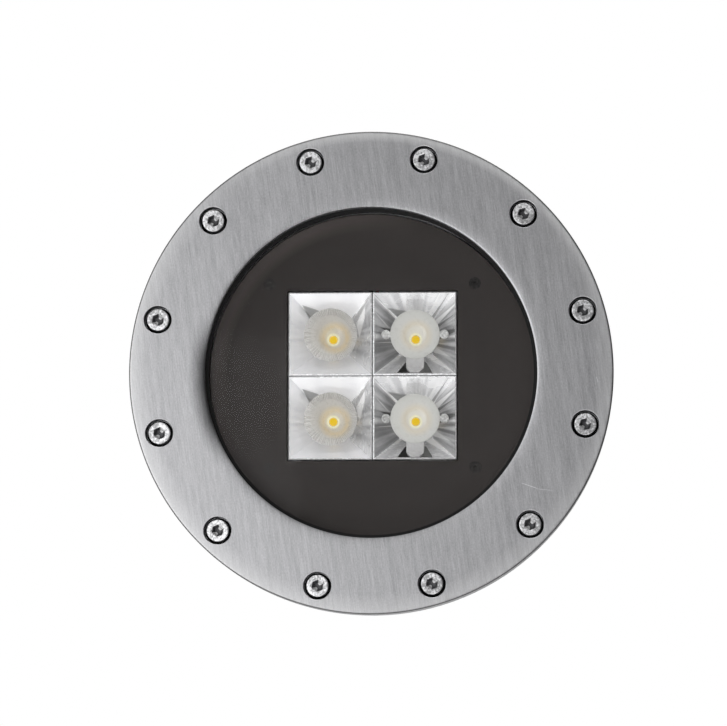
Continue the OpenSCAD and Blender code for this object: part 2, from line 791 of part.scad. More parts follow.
// A ferrite ring inside the turns of its winding
module inductor_core() {
    room = winding_wire_d / 2 + winding_gap;
    core_w = 2 * (winding_corner_share * turn_half_w - room);
    core_h = 2 * (winding_corner_share * turn_half_h - room);
    color("#3a3a3f") facing() on_driver(inductor_share) translate([0, 0, inductor_h / 2])
        difference() {
            cylinder(h = core_h, r = turn_circle_r + core_w / 2, center = true);
            cylinder(h = core_h + 2 * cut, r = turn_circle_r - core_w / 2, center = true);
        }
}

// One point of a turn: its corners are cut, and its sides are flat
function on_turn(a, half) = half * max(-1, min(1, a * sqrt(2) * winding_corner_share));

// The centre line of the winding, one unbroken wire that starts and ends at the board
winding_path = [for (i = [0:winding_turns * winding_points])
    let (turn = i / winding_points, around = turn * winding_span / winding_turns,
        out = turn_circle_r + on_turn(sin(-360 * turn), turn_half_w))
    [out * cos(around), out * sin(around), inductor_h / 2 - on_turn(cos(360 * turn), turn_half_h)]];

// Least gap between one turn of the winding and the next, measured on the points
winding_self_gap = min([for (i = [0:len(winding_path) - 1 - winding_points / 2],
    j = [i + winding_points / 2:len(winding_path) - 1])
        norm(winding_path[i] - winding_path[j])]) - winding_wire_d;
echo(winding_self_gap = winding_self_gap);

module inductor_winding() {
    color("peru") facing() on_driver(inductor_share)
        wire(winding_path, winding_wire_d / 2, winding_sides);
}

module capacitors() {
    color("#26324a") facing() for (share = capacitor_shares) on_driver(share)
        cylinder(h = capacitor_h, d = capacitor_d);
}

module driver_chips() {
    color("#202020") facing() for (i = [0:len(chip_shares) - 1]) on_driver(chip_shares[i])
        translate([0, 0, chip_sizes[i][2] / 2]) cube(chip_sizes[i], center = true);
}

// Children at each way of the terminal block
module terminal_places() {
    for (i = [0:terminal_ways - 1]) on_driver([0, terminal_y_share])
        translate([(i - (terminal_ways - 1) / 2) * terminal_pitch, 0, 0]) children();
}

module terminal_block() {
    color("seagreen") facing() difference() {
        on_driver([0, terminal_y_share]) translate([0, 0, terminal_h / 2])
            cube([terminal_ways * terminal_pitch, terminal_depth, terminal_h], center = true);
        terminal_places() {
            translate([-terminal_entry_w / 2, -terminal_depth / 2 - cut, terminal_entry_rise])
                cube([terminal_entry_w, terminal_entry_depth + cut, terminal_entry_h]);
            translate([0, 0, terminal_h - terminal_screw_depth])
                cylinder(h = terminal_screw_depth + cut, r = terminal_screw_r + thread_gap);
        }
    }
}

module terminal_screws() {
    screw_h = terminal_screw_depth / 2;
    color("gainsboro") facing() terminal_places()
        translate([0, 0, terminal_h - terminal_screw_depth]) difference() {
            cylinder(h = screw_h, r = terminal_screw_r);
            translate([0, 0, screw_h])
                cube([2 * terminal_screw_r + cut, terminal_slot_w, screw_h], center = true);
        }
}

output_x = output_x_share * driver_w;
output_y = output_y_share * driver_h;

module output_socket() {
    color("white") facing() translate([output_x, output_y, driver_top_z + socket_h / 2])
        cube([socket_w, socket_d, socket_h], center = true);
}

// A point between a and b on the smooth curve that runs a to b on its way from p to q
function between(p, a, b, q, t) =
    (2 * a + (b - p) * t + (2 * p - 5 * a + 4 * b - q) * t * t
        + (3 * a - p - 3 * b + q) * t * t * t) / 2;

// The curve through all the points, with steps points on each stretch
function smooth(points, steps) = let (last = len(points) - 1)
    concat([for (i = [0:last - 1], k = [0:steps - 1])
        between(points[max(i - 1, 0)], points[i], points[i + 1], points[min(i + 2, last)], k / steps)],
        [points[last]]);

function unit(v) = v / norm(v);

// The way a path runs at point i
function along(path, i) = unit(path[min(i + 1, len(path) - 1)] - path[max(i - 1, 0)]);

// A side direction, carried on from the last one so that the wire doesn't twist
function carried(side, direction) = unit(side - (side * direction) * direction);

// Side directions at all points of a path
function side_directions(path, i, sides) = i == len(path) ? sides
    : side_directions(path, i + 1, concat(sides, [carried(sides[i - 1], along(path, i))]));

// A wire along a path, round or with a few sides, closed at both ends
module wire(path, r, n) {
    last = len(path) - 1;
    start = along(path, 0);
    first_side = unit(cross(start, abs(start[0]) > abs(start[2]) ? [0, 0, 1] : [1, 0, 0]));
    side = side_directions(path, 1, [first_side]);
    rings = [for (i = [0:last]) let (up = cross(along(path, i), side[i]))
        for (k = [0:n - 1])
            let (a = 360 * k / n) path[i] + r * (cos(a) * side[i] + sin(a) * up)];
    walls = [for (i = [0:last - 1], k = [0:n - 1])
        let (a = i * n + k, b = i * n + (k + 1) % n)
            for (face = [[a, a + n, b], [b, a + n, b + n]]) face];
    first_cap = [for (k = [1:n - 2]) [0, k, k + 1]];
    last_cap = [for (k = [1:n - 2]) [last * n, last * n + k + 1, last * n + k]];
    polyhedron(points = rings, faces = concat(walls, first_cap, last_cap));
}

wire_sides = 8;
wire_steps = 4;

// From the driver's socket up through the heat sink and over to the LED board's socket
module led_wire(side) {
    x = side * wire_half_gap;
    socket_top_z = driver_top_z + socket_h;
    entry_y = led_board_w / 2 - led_socket_inset;
    entry_z = board_top_z + socket_h / 2;
    rise = sink_low_z - socket_top_z;
    points = [[output_x + x, output_y, socket_top_z],
        [output_x + x, output_y, socket_top_z + wire_lead_in / 2],
        [output_x + x, output_y, socket_top_z + wire_lead_in],
        [output_x / 2 + x, (output_y + wire_hole_y) / 2, socket_top_z + rise / 2],
        [x, wire_hole_y, sink_low_z - wire_lead_in],
        [x, wire_hole_y, sink_low_z],
        [x, wire_hole_y, sink_top_z],
        [x, (wire_hole_y + entry_y) / 2 + wire_d, entry_z + wire_d / 2],
        [x, entry_y + wire_lead_in, entry_z],
        [x, entry_y + wire_lead_in / 2, entry_z],
        [x, entry_y, entry_z]];
    wire(smooth(points, wire_steps), wire_d / 2, wire_sides);
}

// Rubber bush that lines the hole in the heat sink's plate
module wire_grommet() {
    inner_r = wire_hole_r - grommet_wall;
    lip_r = wire_hole_r + grommet_lip_w;
    color("#1a1a1a") facing() translate([0, wire_hole_y, 0]) rotate_extrude()
        polygon([[inner_r, sink_low_z - grommet_lip_h], [lip_r, sink_low_z - grommet_lip_h],
            [lip_r, sink_low_z], [wire_hole_r, sink_low_z], [wire_hole_r, sink_top_z],
            [lip_r, sink_top_z], [lip_r, sink_top_z + grommet_lip_h],
            [inner_r, sink_top_z + grommet_lip_h]]);
}

module led_wire_red() {
    color("firebrick") facing() led_wire(1);
}

module led_wire_black() {
    color("#1c1c1c") facing() led_wire(-1);
}

// Levels of the gland, counted outwards from the pot's back
neck_z = back_z - gland_flange_h;
neck_end_z = neck_z - gland_neck_h;
seal_top_z = neck_end_z + seal_seat_depth;
seal_end_z = seal_top_z - seal_len;
cap_top_z = neck_z - gland_cap_gap;
cap_end_z = cap_top_z - gland_cap_h;
dome_end_z = cap_end_z - gland_dome_h;

module at_gland() {
    facing() translate([0, -gland_drop, 0]) children();
}

module gland_body() {
    thread_top_z = floor_z + gland_locknut_h + gland_thread_spare;
    groove_r = gland_thread_d / 2 + gland_hole_gap;
    color("silver") at_gland() difference() {
        union() {
            translate([0, 0, neck_z]) cylinder(h = gland_flange_h, r = hex_r(gland_w), $fn = 6);
            translate([0, 0, neck_z]) cylinder(h = thread_top_z - neck_z, d = gland_thread_d);
            translate([0, 0, neck_end_z]) cylinder(h = gland_neck_h + cut, r = gland_neck_r);
        }
        translate([0, 0, neck_end_z - cut])
            cylinder(h = thread_top_z - neck_end_z + 2 * cut, r = gland_bore_r);
        translate([0, 0, neck_end_z - cut])
            cylinder(h = seal_seat_depth + cut, r = seal_r + seal_gap);
        translate([0, 0, back_z - 2 * o_ring_r]) difference() {
            cylinder(h = 2 * o_ring_r + cut, r = groove_r + 2 * o_ring_r + o_ring_groove_gap);
            translate([0, 0, -cut]) cylinder(h = 2 * o_ring_r + 3 * cut, d = gland_thread_d);
        }
    }
}

module gland_o_ring() {
    color("#141414") at_gland() translate([0, 0, back_z - o_ring_r]) rotate_extrude()
        translate([gland_thread_d / 2 + gland_hole_gap + o_ring_r, 0]) circle(r = o_ring_r, $fn = 24);
}

module gland_locknut() {
    color("silver") at_gland() translate([0, 0, floor_z]) difference() {
        cylinder(h = gland_locknut_h, r = hex_r(gland_w), $fn = 6);
        translate([0, 0, -cut])
            cylinder(h = gland_locknut_h + 2 * cut, r = gland_thread_d / 2 + thread_gap);
    }
}

// Rubber sleeve that closes on the cable
module gland_seal() {
    color("#161616") at_gland() translate([0, 0, seal_end_z]) difference() {
        cylinder(h = seal_len, r = seal_r);
        translate([0, 0, -cut]) cylinder(h = seal_len + 2 * cut, d = cable_d);
    }
}

// Loose ring that slides with the dome nut, so that the turning nut does not twist the seal
module gland_thrust_ring() {
    color("khaki") at_gland() translate([0, 0, seal_end_z - thrust_ring_t]) difference() {
        cylinder(h = thrust_ring_t, r = seal_r + seal_gap - thread_gap);
        translate([0, 0, -cut]) cylinder(h = thrust_ring_t + 2 * cut, r = gland_mouth_r);
    }
}

// Dome nut: a hexagon over the body's neck and a round dome that presses on the seal
module gland_nut() {
    dome_r = gland_w / 2;
    color("silver") at_gland() difference() {
        union() {
            translate([0, 0, cap_end_z]) cylinder(h = gland_cap_h, r = hex_r(gland_w), $fn = 6);
            rotate_extrude()
                polygon(concat([[0, cap_end_z + cut], [dome_r, cap_end_z + cut]],
                    arc(dome_r * gland_dome_r_share, cap_end_z, dome_r * (1 - gland_dome_r_share),
                        gland_dome_h, 0, -90),
                    [[0, dome_end_z]]));
        }
        translate([0, 0, neck_end_z])
            cylinder(h = cap_top_z - neck_end_z + cut, r = gland_neck_r + thread_gap);
        translate([0, 0, seal_end_z - thrust_ring_t])
            cylinder(h = neck_end_z - seal_end_z + thrust_ring_t + cut, r = seal_r + seal_gap);
        translate([0, 0, dome_end_z - cut]) cylinder(h = gland_dome_h + gland_cap_h, r = gland_mouth_r);
    }
}

front_ring();
ring_screws();
mounting_screws();
screw_washers();
cover_glass();
glass_gasket();
housing_flange();
housing_pot();
mask_plate();
mask_screws();
mask_standoffs();
reflector_at(-1, 1);  // reflector_upper_left
reflector_at(1, 1);  // reflector_upper_right
reflector_at(-1, -1);  // reflector_lower_left
reflector_at(1, -1);  // reflector_lower_right
lens_at(-1, 1);  // lens_upper_left
lens_at(1, 1);  // lens_upper_right
lens_at(-1, -1);  // lens_lower_left
lens_at(1, -1);  // lens_lower_right
led_base_at(-1, 1);  // led_base_upper_left
led_base_at(1, 1);  // led_base_upper_right
led_base_at(-1, -1);  // led_base_lower_left
led_base_at(1, -1);  // led_base_lower_right
led_phosphor_at(-1, 1);  // led_phosphor_upper_left
led_phosphor_at(1, 1);  // led_phosphor_upper_right
led_phosphor_at(-1, -1);  // led_phosphor_lower_left
led_phosphor_at(1, -1);  // led_phosphor_lower_right
led_board();
led_board_screws();
led_board_socket();
thermal_pad();
heat_sink();
heat_sink_screws();
heat_sink_pillars();
driver_board();
driver_spacers();
driver_screws();
inductor_core();
inductor_winding();
capacitors();
driver_chips();
terminal_block();
terminal_screws();
output_socket();
led_wire_red();
led_wire_black();
wire_grommet();
gland_body();
gland_nut();
gland_thrust_ring();
gland_seal();
gland_locknut();
gland_o_ring();
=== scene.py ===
"""Finishes, finer pieces, light and camera for the recessed underwater light."""

import json
import math
import random

import bpy
from mathutils import Matrix, Vector

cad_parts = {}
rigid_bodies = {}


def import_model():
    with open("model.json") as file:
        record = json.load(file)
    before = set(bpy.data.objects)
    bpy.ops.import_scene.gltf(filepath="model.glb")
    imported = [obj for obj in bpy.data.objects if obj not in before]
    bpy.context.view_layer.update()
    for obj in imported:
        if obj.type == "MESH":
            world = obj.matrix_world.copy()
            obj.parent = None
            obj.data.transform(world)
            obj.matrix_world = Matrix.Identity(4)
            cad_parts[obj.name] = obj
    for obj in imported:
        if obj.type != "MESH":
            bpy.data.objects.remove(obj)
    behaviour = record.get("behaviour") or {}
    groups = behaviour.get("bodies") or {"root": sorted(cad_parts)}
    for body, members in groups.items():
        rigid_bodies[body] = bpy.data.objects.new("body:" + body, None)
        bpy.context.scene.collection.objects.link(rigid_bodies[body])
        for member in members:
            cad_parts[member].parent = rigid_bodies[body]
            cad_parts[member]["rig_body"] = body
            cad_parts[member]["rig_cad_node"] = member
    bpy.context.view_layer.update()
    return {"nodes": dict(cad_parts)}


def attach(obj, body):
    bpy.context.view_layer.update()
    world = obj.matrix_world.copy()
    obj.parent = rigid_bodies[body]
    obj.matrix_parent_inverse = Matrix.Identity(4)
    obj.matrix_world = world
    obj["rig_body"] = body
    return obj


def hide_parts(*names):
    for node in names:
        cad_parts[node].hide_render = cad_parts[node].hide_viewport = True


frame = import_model()

MM = 0.001

# Points nearer to each other than this, in millimetres, are one
MERGE = 0.002

# Turns in degrees, counts and shares
SCREW_TURN = 16.0
KNURLS = 48
KNURL_FLOOR = 0.965
LENS_STEPS = 168

# Sizes of the light, in millimetres. Levels count outwards from the wall, towards the viewer.
RING_R = 110.0
VIEW_R = 75.5
POCKET_R = 84.3
FACE_Z = 24.0
LIP_Z = 19.0
FLANGE_Z = 12.0
RIM_ROLL = (1.2, 0.35)
MOUTH_ROLL = (5.5, 0.3)
SCREW_CIRCLE_R = 100.0
COUNTERBORE_R = 6.35
SCREW_HOLE_R = 3.3
WASHER_Z = 15.8
WASHER_R = 6.0
HEAD_Z = 17.4
HEAD_R = 5.0
HEAD_H = 6.0
SOCKET_R = 2.88
SHANK_R = 2.675
STUD_R = 3.0
SHORT_END_Z = 1.4
LONG_END_Z = -12.6
CELL_HALF = 19.4
MOUTH_HALF = 18.6
FOOT_HALF = 7.6
RIM_Z = 5.8
FOOT_Z = -14.7
REFLECTOR_WALL = 0.7
LEG_STEP = 7.95
LEG_R = 1.0
PEG_R = 0.8
PEG_END_Z = -20.4

# How far the reflectors' outer rims lean out, and their inner rims towards each other
LIP = 0.36
MEET = 0.15

BOARD_Z = -19.0
LENS_TOP_Z = 2.0
LENS_DISC_Z = 0.7
LENS_FOOT_R = 6.39
LEFT_LENS_R = 12.26
RIGHT_LENS_R = 11.36
RIB_DEPTH = 0.45
GLAND_DROP = 57.0

# Where an LED shows in its lens, right and up of the axis, and how much nearer it stands to
# the window's middle
LED_SPOT = (0.8, -1.98)
LED_DRAW = 0.5


# Working in mesh

def deselect():
    if bpy.context.object and bpy.context.object.mode != "OBJECT":
        bpy.ops.object.mode_set(mode="OBJECT")
    bpy.ops.object.select_all(action="DESELECT")


def choose(piece):
    """Selects one piece alone and makes it active."""
    deselect()
    piece.select_set(True)
    bpy.context.view_layer.objects.active = piece


def settle(piece):
    """Puts a piece's place into its mesh."""
    choose(piece)
    bpy.ops.object.transform_apply(location=True, rotation=True, scale=True)
    return piece


def join(pieces, name):
    """Several pieces as one."""
    deselect()
    for piece in pieces:
        piece.select_set(True)
    bpy.context.view_layer.objects.active = pieces[0]
    if len(pieces) > 1:
        bpy.ops.object.join()
    pieces[0].name = name
    return pieces[0]


def applied(piece, kind, **settings):
    """Adds a modifier and applies it."""
    choose(piece)
    modifier = piece.modifiers.new(kind.lower(), kind)
    for key, value in settings.items():
        setattr(modifier, key, value)
    bpy.ops.object.modifier_apply(modifier=modifier.name)
    return piece


def smooth(piece, angle=32.0):
    """Smooth shading up to an angle, with large faces kept flat."""
    choose(piece)
    bpy.ops.object.shade_smooth_by_angle(angle=math.radians(angle))
    return applied(piece, "WEIGHTED_NORMAL", keep_sharp=True, weight=80)


def edit(select=None, everything=False):
    """Enters edit mode, with a way of selecting and everything selected if asked for."""
    bpy.ops.object.mode_set(mode="EDIT")
    if select:
        bpy.ops.mesh.select_mode(type=select)
    if everything:
        bpy.ops.mesh.select_all(action="SELECT")


def leave():
    """Leaves edit mode."""
    bpy.ops.object.mode_set(mode="OBJECT")


def pick(piece, chosen):
    """Selects the vertices of a piece by their places in millimetres."""
    choose(piece)
    for part in (*piece.data.vertices, *piece.data.edges, *piece.data.polygons):
        part.select = False
    for vertex in piece.data.vertices:
        vertex.select = chosen(*(c / MM for c in vertex.co))


def push(step):
    """Moves the picked vertices by a step in millimetres."""
    edit()
    bpy.ops.transform.translate(value=tuple(c * MM for c in step))
    leave()


def draw_out(step):
    """Extrudes the selected edges by a step in millimetres."""
    bpy.ops.mesh.extrude_edges_move(
        TRANSFORM_OT_translate={"value": tuple(c * MM for c in step)})


def outward(piece):
    """Merges doubles and points all faces outwards."""
    choose(piece)
    edit(everything=True)
    bpy.ops.mesh.remove_doubles(threshold=MERGE * MM)
    bpy.ops.mesh.normals_make_consistent(inside=False)
    leave()
    return piece


def turned(name, profile, steps=96, at=(0.0, 0.0)):
    """A turned piece in face coordinates: the profile's (radius, level) points go round an
    upright axis. A profile that ends at its own start is a closed ring, and one that starts
    or ends at radius 0 is capped there."""
    deselect()
    capped = profile[0][0] == 0
    path = profile[1:] if capped else profile
    centre = [at[0] * MM, at[1] * MM]
    bpy.ops.mesh.primitive_circle_add(vertices=steps, radius=path[0][0] * MM,
        fill_type="NGON" if capped else "NOTHING", location=(*centre, path[0][1] * MM))
    piece = settle(bpy.context.object)
    piece.name = name
    edit("EDGE", True)
    if capped:
        bpy.ops.mesh.region_to_loop()
    for (r0, z0), (r1, z1) in zip(path, path[1:]):
        if r1 == 0:
            bpy.ops.mesh.edge_face_add()
            break
        draw_out((0, 0, z1 - z0))
        if r1 != r0:
            bpy.ops.transform.resize(value=(r1 / r0, r1 / r0, 1),
                center_override=(*centre, z1 * MM))
    leave()
    return outward(piece)


def sheet(place, width, height):
    """A flat rectangle in face coordinates."""
    deselect()
    bpy.ops.mesh.primitive_plane_add(size=1, location=[c * MM for c in place])
    piece = bpy.context.object
    piece.scale = (width * MM, height * MM, 1)
    return settle(piece)


def rounded(centre, radii, start, end, steps=10):
    """Points on an elliptic arc from one angle to another, in degrees."""
    turns = [math.radians(start + (end - start) * i / steps) for i in range(steps + 1)]
    return [(centre[0] + radii[0] * math.cos(t), centre[1] + radii[1] * math.sin(t))
        for t in turns]


def carved(piece, cutter):
    """Takes a cutter out of a piece."""
    applied(piece, "BOOLEAN", operation="DIFFERENCE", solver="EXACT", object=cutter)
    bpy.data.objects.remove(cutter)
    return piece


def broken(piece, width, angle=40):
    """Breaks a piece's edges that are sharper than an angle."""
    return applied(piece, "BEVEL", width=width * MM, segments=2, limit_method="ANGLE",
        angle_limit=math.radians(angle), use_clamp_overlap=True)


def copied(piece, name, matrix):
    """A copy with its own mesh, moved by a matrix."""
    twin = piece.copy()
    twin.data = piece.data.copy()
    twin.data.transform(matrix)
    twin.name = name
    bpy.context.scene.collection.objects.link(twin)
    return twin


def stand(piece):
    """Turns a piece from face coordinates into the light's own frame."""
    piece.data.transform(Matrix.Rotation(math.radians(90), 4, "X"))
    return piece


def clad(piece, *materials):
    """Gives a piece its materials, in their order."""
    piece.data.materials.clear()
    for material in materials:
        piece.data.materials.append(material)


def fit(piece, material, slot, *nodes, body="light"):
    """Gives a finished piece its material and body, and hides the CAD nodes that it replaces;
    slot is not used.
    """
    if material:
        clad(piece, material)
    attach(piece, body)
    if nodes:
        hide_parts(*nodes)
    return piece


# Materials

def shader_of(made):
    """The shader of a material."""
    return made.node_tree.nodes["Principled BSDF"]


def finish(name, colour, roughness, metallic=0.0, **sockets):
    """A material with its even values, ready for its patterns."""
    made = bpy.data.materials.new(name)
    made.use_nodes = True
    inputs = shader_of(made).inputs
    inputs["Base Color"].default_value = (*colour, 1)
    inputs["Roughness"].default_value = roughness
    inputs["Metallic"].default_value = metallic
    for key, value in sockets.items():
        inputs[key.replace("_", " ")].default_value = value
    return made


def lead(made, socket, name):
    """Leads a pattern into one of the shader's inputs."""
    made.node_tree.links.new(socket, shader_of(made).inputs[name])


def add(made, kind, inputs=(), **settings):
    """A node with its settings; inputs are (name or number, value or socket)."""
    node = made.node_tree.nodes.new("ShaderNode" + kind)
    for key, value in settings.items():
        setattr(node, key, value)
    for key, value in inputs:
        if isinstance(value, bpy.types.NodeSocket):
            made.node_tree.links.new(value, node.inputs[key])
        else:
            node.inputs[key].default_value = value
    return node


def here(made):
    """The place on the surface, in the light's own frame."""
    return add(made, "TexCoord").outputs["Object"]


def arith(made, operation, *values):
    """One step of arithmetic."""
    return add(made, "Math", enumerate(values), operation=operation).outputs[0]


def vector(made, operation, *values):
    """One step with vectors."""
    node = add(made, "VectorMath", enumerate(values), operation=operation)
    return node.outputs["Value" if operation in ("DOT_PRODUCT", "LENGTH") else "Vector"]


def flat(made, way):
    """A way without its depth."""
    return vector(made, "MULTIPLY", way, (1, 0, 1))


def blend(made, share, one, other):
    """Two colours mixed by a share."""
    return add(made, "Mix", [(0, share), (6, one), (7, other)], data_type="RGBA").outputs[2]


def shared_out(made, value, low, high, start=0.0, end=1.0):
    """A value spread linearly from one range to another, and held at its ends."""
    return add(made, "MapRange", [(0, value), (1, start), (2, end), (3, low),
        (4, high)]).outputs["Result"]


def speck(made, size, detail=2.0, turn=(0, 0, 0), roughness=0.5):
    """Noise whose grains have a size in millimetres along each axis."""
    placed = add(made, "Mapping", [("Vector", here(made)), ("Rotation", turn),
        ("Scale", [s * MM for s in size])], vector_type="TEXTURE")
    return add(made, "TexNoise", [("Vector", placed.outputs["Vector"]), ("Scale", 1.0),
        ("Detail", detail), ("Roughness", roughness)]).outputs["Fac"]


def around(made, size, centre=(0.0, 0.0)):
    """Noise in rings round an axis that points at the viewer, as a lathe leaves it."""
    placed = add(made, "Mapping", [("Vector", here(made)),
        ("Location", (centre[0] * MM, 0, centre[1] * MM))], vector_type="TEXTURE")
    way = placed.outputs["Vector"]
    rings = add(made, "CombineXYZ", [(0, vector(made, "LENGTH", flat(made, way))),
        (1, add(made, "SeparateXYZ", [(0, way)]).outputs["Y"])])
    return add(made, "TexNoise", [("Vector", rings.outputs["Vector"]),
        ("Scale", 1 / (size * MM)), ("Detail", 2.0)]).outputs["Fac"]


def ramped(made, fac, stops):
    """A colour ramp with any number of (place, colour) stops."""
    ramp = add(made, "ValToRGB", [(0, fac)])
    points = ramp.color_ramp.elements
    while len(points) < len(stops):
        points.new(0.5)
    for point, (place, colour) in zip(points, stops):
        point.position = place
        point.color = (*colour, 1)
    return ramp.outputs["Color"]


def colours(made, fac, low, high, start=0.3, end=0.7):
    """Lets a pattern run the base colour between two colours."""
    tone = ramped(made, fac, [(start, low), (end, high)])
    lead(made, tone, "Base Color")
    return tone


def sheen(made, fac, low, high):
    """Lets a pattern run the roughness."""
    lead(made, shared_out(made, fac, low, high, 0.3, 0.7), "Roughness")


def relief(made, fac, depth):
    """Lets a pattern raise the surface by a depth in millimetres."""
    bump = add(made, "Bump", [("Height", fac), ("Distance", depth * MM), ("Strength", 1.0)])
    lead(made, bump.outputs["Normal"], "Normal")


def mixed(made, a, b, share):
    """Two patterns mixed by a fixed share."""
    return add(made, "Mix", [(0, share), (2, a), (3, b)]).outputs[0]


def speckled(name, colour, roughness, metallic=0.0, grain=0.5, spread=0.12, depth=0.01,
        soft=0.2, **sockets):
    """A finish with a fine even grain: the plain kind for paint, rubber and mouldings."""
    made = finish(name, colour, roughness, metallic, **sockets)
    fine = speck(made, (grain, grain, grain), 3.0)
    broad = speck(made, (grain * 24, grain * 24, grain * 24), 2.0)
    colours(made, mixed(made, fine, broad, 0.45), [c * (1 - spread) for c in colour],
        [min(1, c * (1 + spread)) for c in colour], 0.5 - soft, 0.5 + soft)
    sheen(made, broad, max(0.03, roughness - 0.06), min(1, roughness + 0.06))
    relief(made, fine, depth)
    return made


def matt_mask():
    """The mask's matt paint, paler towards its edge, most of all where the ring shades it:
    painted light that lifts the shade there.
    """
    made = speckled("mask_paint", (0.0365, 0.0315, 0.030), 0.62, grain=0.25, spread=0.05,
        depth=0.0008, Specular_IOR_Level=0.25)
    tone = shader_of(made).inputs["Base Color"].links[0].from_socket
    # Painted light: paler towards the edge and where the ring's lip shades the mask
    edge = shared_out(made, vector(made, "LENGTH", flat(made, here(made))), 0, 1,
        52.0 * MM, 75.0 * MM)
    painted_light_in_shade = on_ring(made, (-0.819, 0, 0.574), (66.0, 73.5), (0, 1), (0.3, 0.9), (0, 1))
    for share, more in ((edge, 1.5), (painted_light_in_shade, 2.7)):
        tone = blend(made, share, tone, vector(made, "MULTIPLY", tone, (more, more, more)))
    lead(made, tone, "Base Color")
    return made


def scratch(made, tone, right, up, turn, length, width):
    """A tone with one light scratch laid over it, its middle and sizes in millimetres."""
    way = vector(made, "SUBTRACT", here(made), (right * MM, 0, up * MM))
    t = math.radians(turn)
    reach = [arith(made, "ABSOLUTE", vector(made, "DOT_PRODUCT", way,
        (x * 2 / (size * MM), 0, z * 2 / (size * MM)))) for x, z, size in
        ((math.cos(t), math.sin(t), length), (-math.sin(t), math.cos(t), width))]
    far = arith(made, "MAXIMUM", *reach)
    return blend(made, shared_out(made, far, 0.9, 0, 0.5, 1.0), tone, (0.80, 0.80, 0.82, 1))


def on_ring(made, direction, radii, shares, turns, spread):
    """A share that runs over radii in millimetres, times one that runs with how far a place
    lies towards a direction."""
    across = flat(made, here(made))
    near = vector(made, "DOT_PRODUCT", vector(made, "NORMALIZE", across), direction)
    return arith(made, "MULTIPLY",
        shared_out(made, vector(made, "LENGTH", across), *shares, *[r * MM for r in radii]),
        shared_out(made, near, *spread, *turns))


def toned(made, tone, share, grey):
    """A tone mixed with a plain grey by a share."""
    return blend(made, share, tone, (grey, grey, grey, 1))


def ring_painted_light(made, tone):
    """The ring's edges, in painted light: a painted reflection of the dark mask darkens the left
    of its mouth, a painted highlight makes its rim paler, most of all at the top, and painted
    shade darkens the last half millimetre of its roll."""
    # Painted reflection: the left of the mouth darkened as if it mirrored the dark mask
    mouth = on_ring(made, (-0.993, 0, -0.122), (VIEW_R + 0.5, VIEW_R + 7.5), (0.86, 0),
        (0.9, 0.985), (0, 1))
    # Painted highlight: the rim paler, most of all at the top, as light from above falls on it
    rim_painted_highlight = on_ring(made, (0.087, 0, 0.996), (RING_R - 9.0, RING_R - 1.5), (0, 1),
        (0.4, 0.9), (0.27, 0.1))
    top_painted_highlight = on_ring(made, (0.342, 0, 0.940), (RING_R - 4.8, RING_R - 0.6), (0, 1),
        (0.5, 0.95), (0, 0.68))
    for share, grey in ((mouth, 0.03), (rim_painted_highlight, 0.95), (top_painted_highlight, 0.95)):
        tone = toned(made, tone, share, grey)
    low = FACE_Z - RIM_ROLL[1]
    depth = add(made, "SeparateXYZ", [(0, here(made))]).outputs["Y"]
    front = shared_out(made, depth, 1, 0, -low * MM, -(low - 0.1) * MM)
    # Painted shade: a dark line over the last half millimetre of the rim's roll, on its front
    line = on_ring(made, (0, 0, 1), (RING_R - 0.75, RING_R - 0.4), (0, 0.85), (-1, 1), (1, 1))
    return toned(made, tone, arith(made, "MULTIPLY", line, front), 0.03)


def brushed_steel():
    """The ring: long fine lines that lean a little from upright, and a few scratches."""
    made = finish("brushed_steel", (0.48, 0.48, 0.495), 0.4, 1.0)
    lean = (0, math.radians(-8), 0)
    hairs = speck(made, (0.55, 6.0, 8.0), 4.0, lean, 0.65)
    bands = speck(made, (2.2, 30.0, 45.0), 3.0, lean)
    grain = speck(made, (0.5, 0.5, 0.9), 2.0)
    lines = mixed(made, mixed(made, hairs, bands, 0.35), grain, 0.3)
    tone = colours(made, lines, (0.37, 0.37, 0.382), (0.575, 0.575, 0.59), 0.38, 0.62)
    for place in ((71.7, -52.1, -19, 9.0, 0.38), (78.6, -53.9, -6, 8.0, 0.22),
            (102.5, -4.0, -70, 3.0, 0.3), (96.0, -62.0, -62, 3.0, 0.25)):
        tone = scratch(made, tone, *place)
    lead(made, ring_painted_light(made, tone), "Base Color")
    sheen(made, lines, 0.33, 0.47)
    relief(made, hairs, 0.012)
    return made


def lathed(name, colour, roughness, size=0.35, centre=(0.0, 0.0)):
    """Turned metal: fine rings round its axis over a broad change of tone."""
    made = finish(name, colour, roughness, 1.0)
    rings = around(made, size, centre)
    broad = speck(made, (25, 25, 25), 3.0)
    colours(made, mixed(made, rings, broad, 0.25), [c * 0.84 for c in colour],
        [min(1, c * 1.12) for c in colour], 0.38, 0.62)
    sheen(made, rings, roughness - 0.07, roughness + 0.07)
    relief(made, rings, 0.006)
    return made


def from_cell_axis(made):
    """The way from the axis of the nearest reflector, across its face."""
    where = here(made)
    axis = vector(made, "MULTIPLY", vector(made, "SIGN", where),
        (CELL_HALF * MM, 0, CELL_HALF * MM))
    return flat(made, vector(made, "SUBTRACT", where, axis))


def streaks(made, way, count, stretch):
    """Noise that runs out from a cell's axis: count is how many streaks lie side by side in
    one radian, and stretch their length in millimetres."""
    rays = vector(made, "MULTIPLY", vector(made, "NORMALIZE", way), (count, 0, count))
    out = arith(made, "MULTIPLY", vector(made, "LENGTH", way), 1 / (stretch * MM))
    place = vector(made, "ADD", rays, add(made, "CombineXYZ", [(1, out)]).outputs["Vector"])
    return add(made, "TexNoise", [("Vector", place), ("Scale", 1.0),
        ("Detail", 1.5)]).outputs["Fac"]


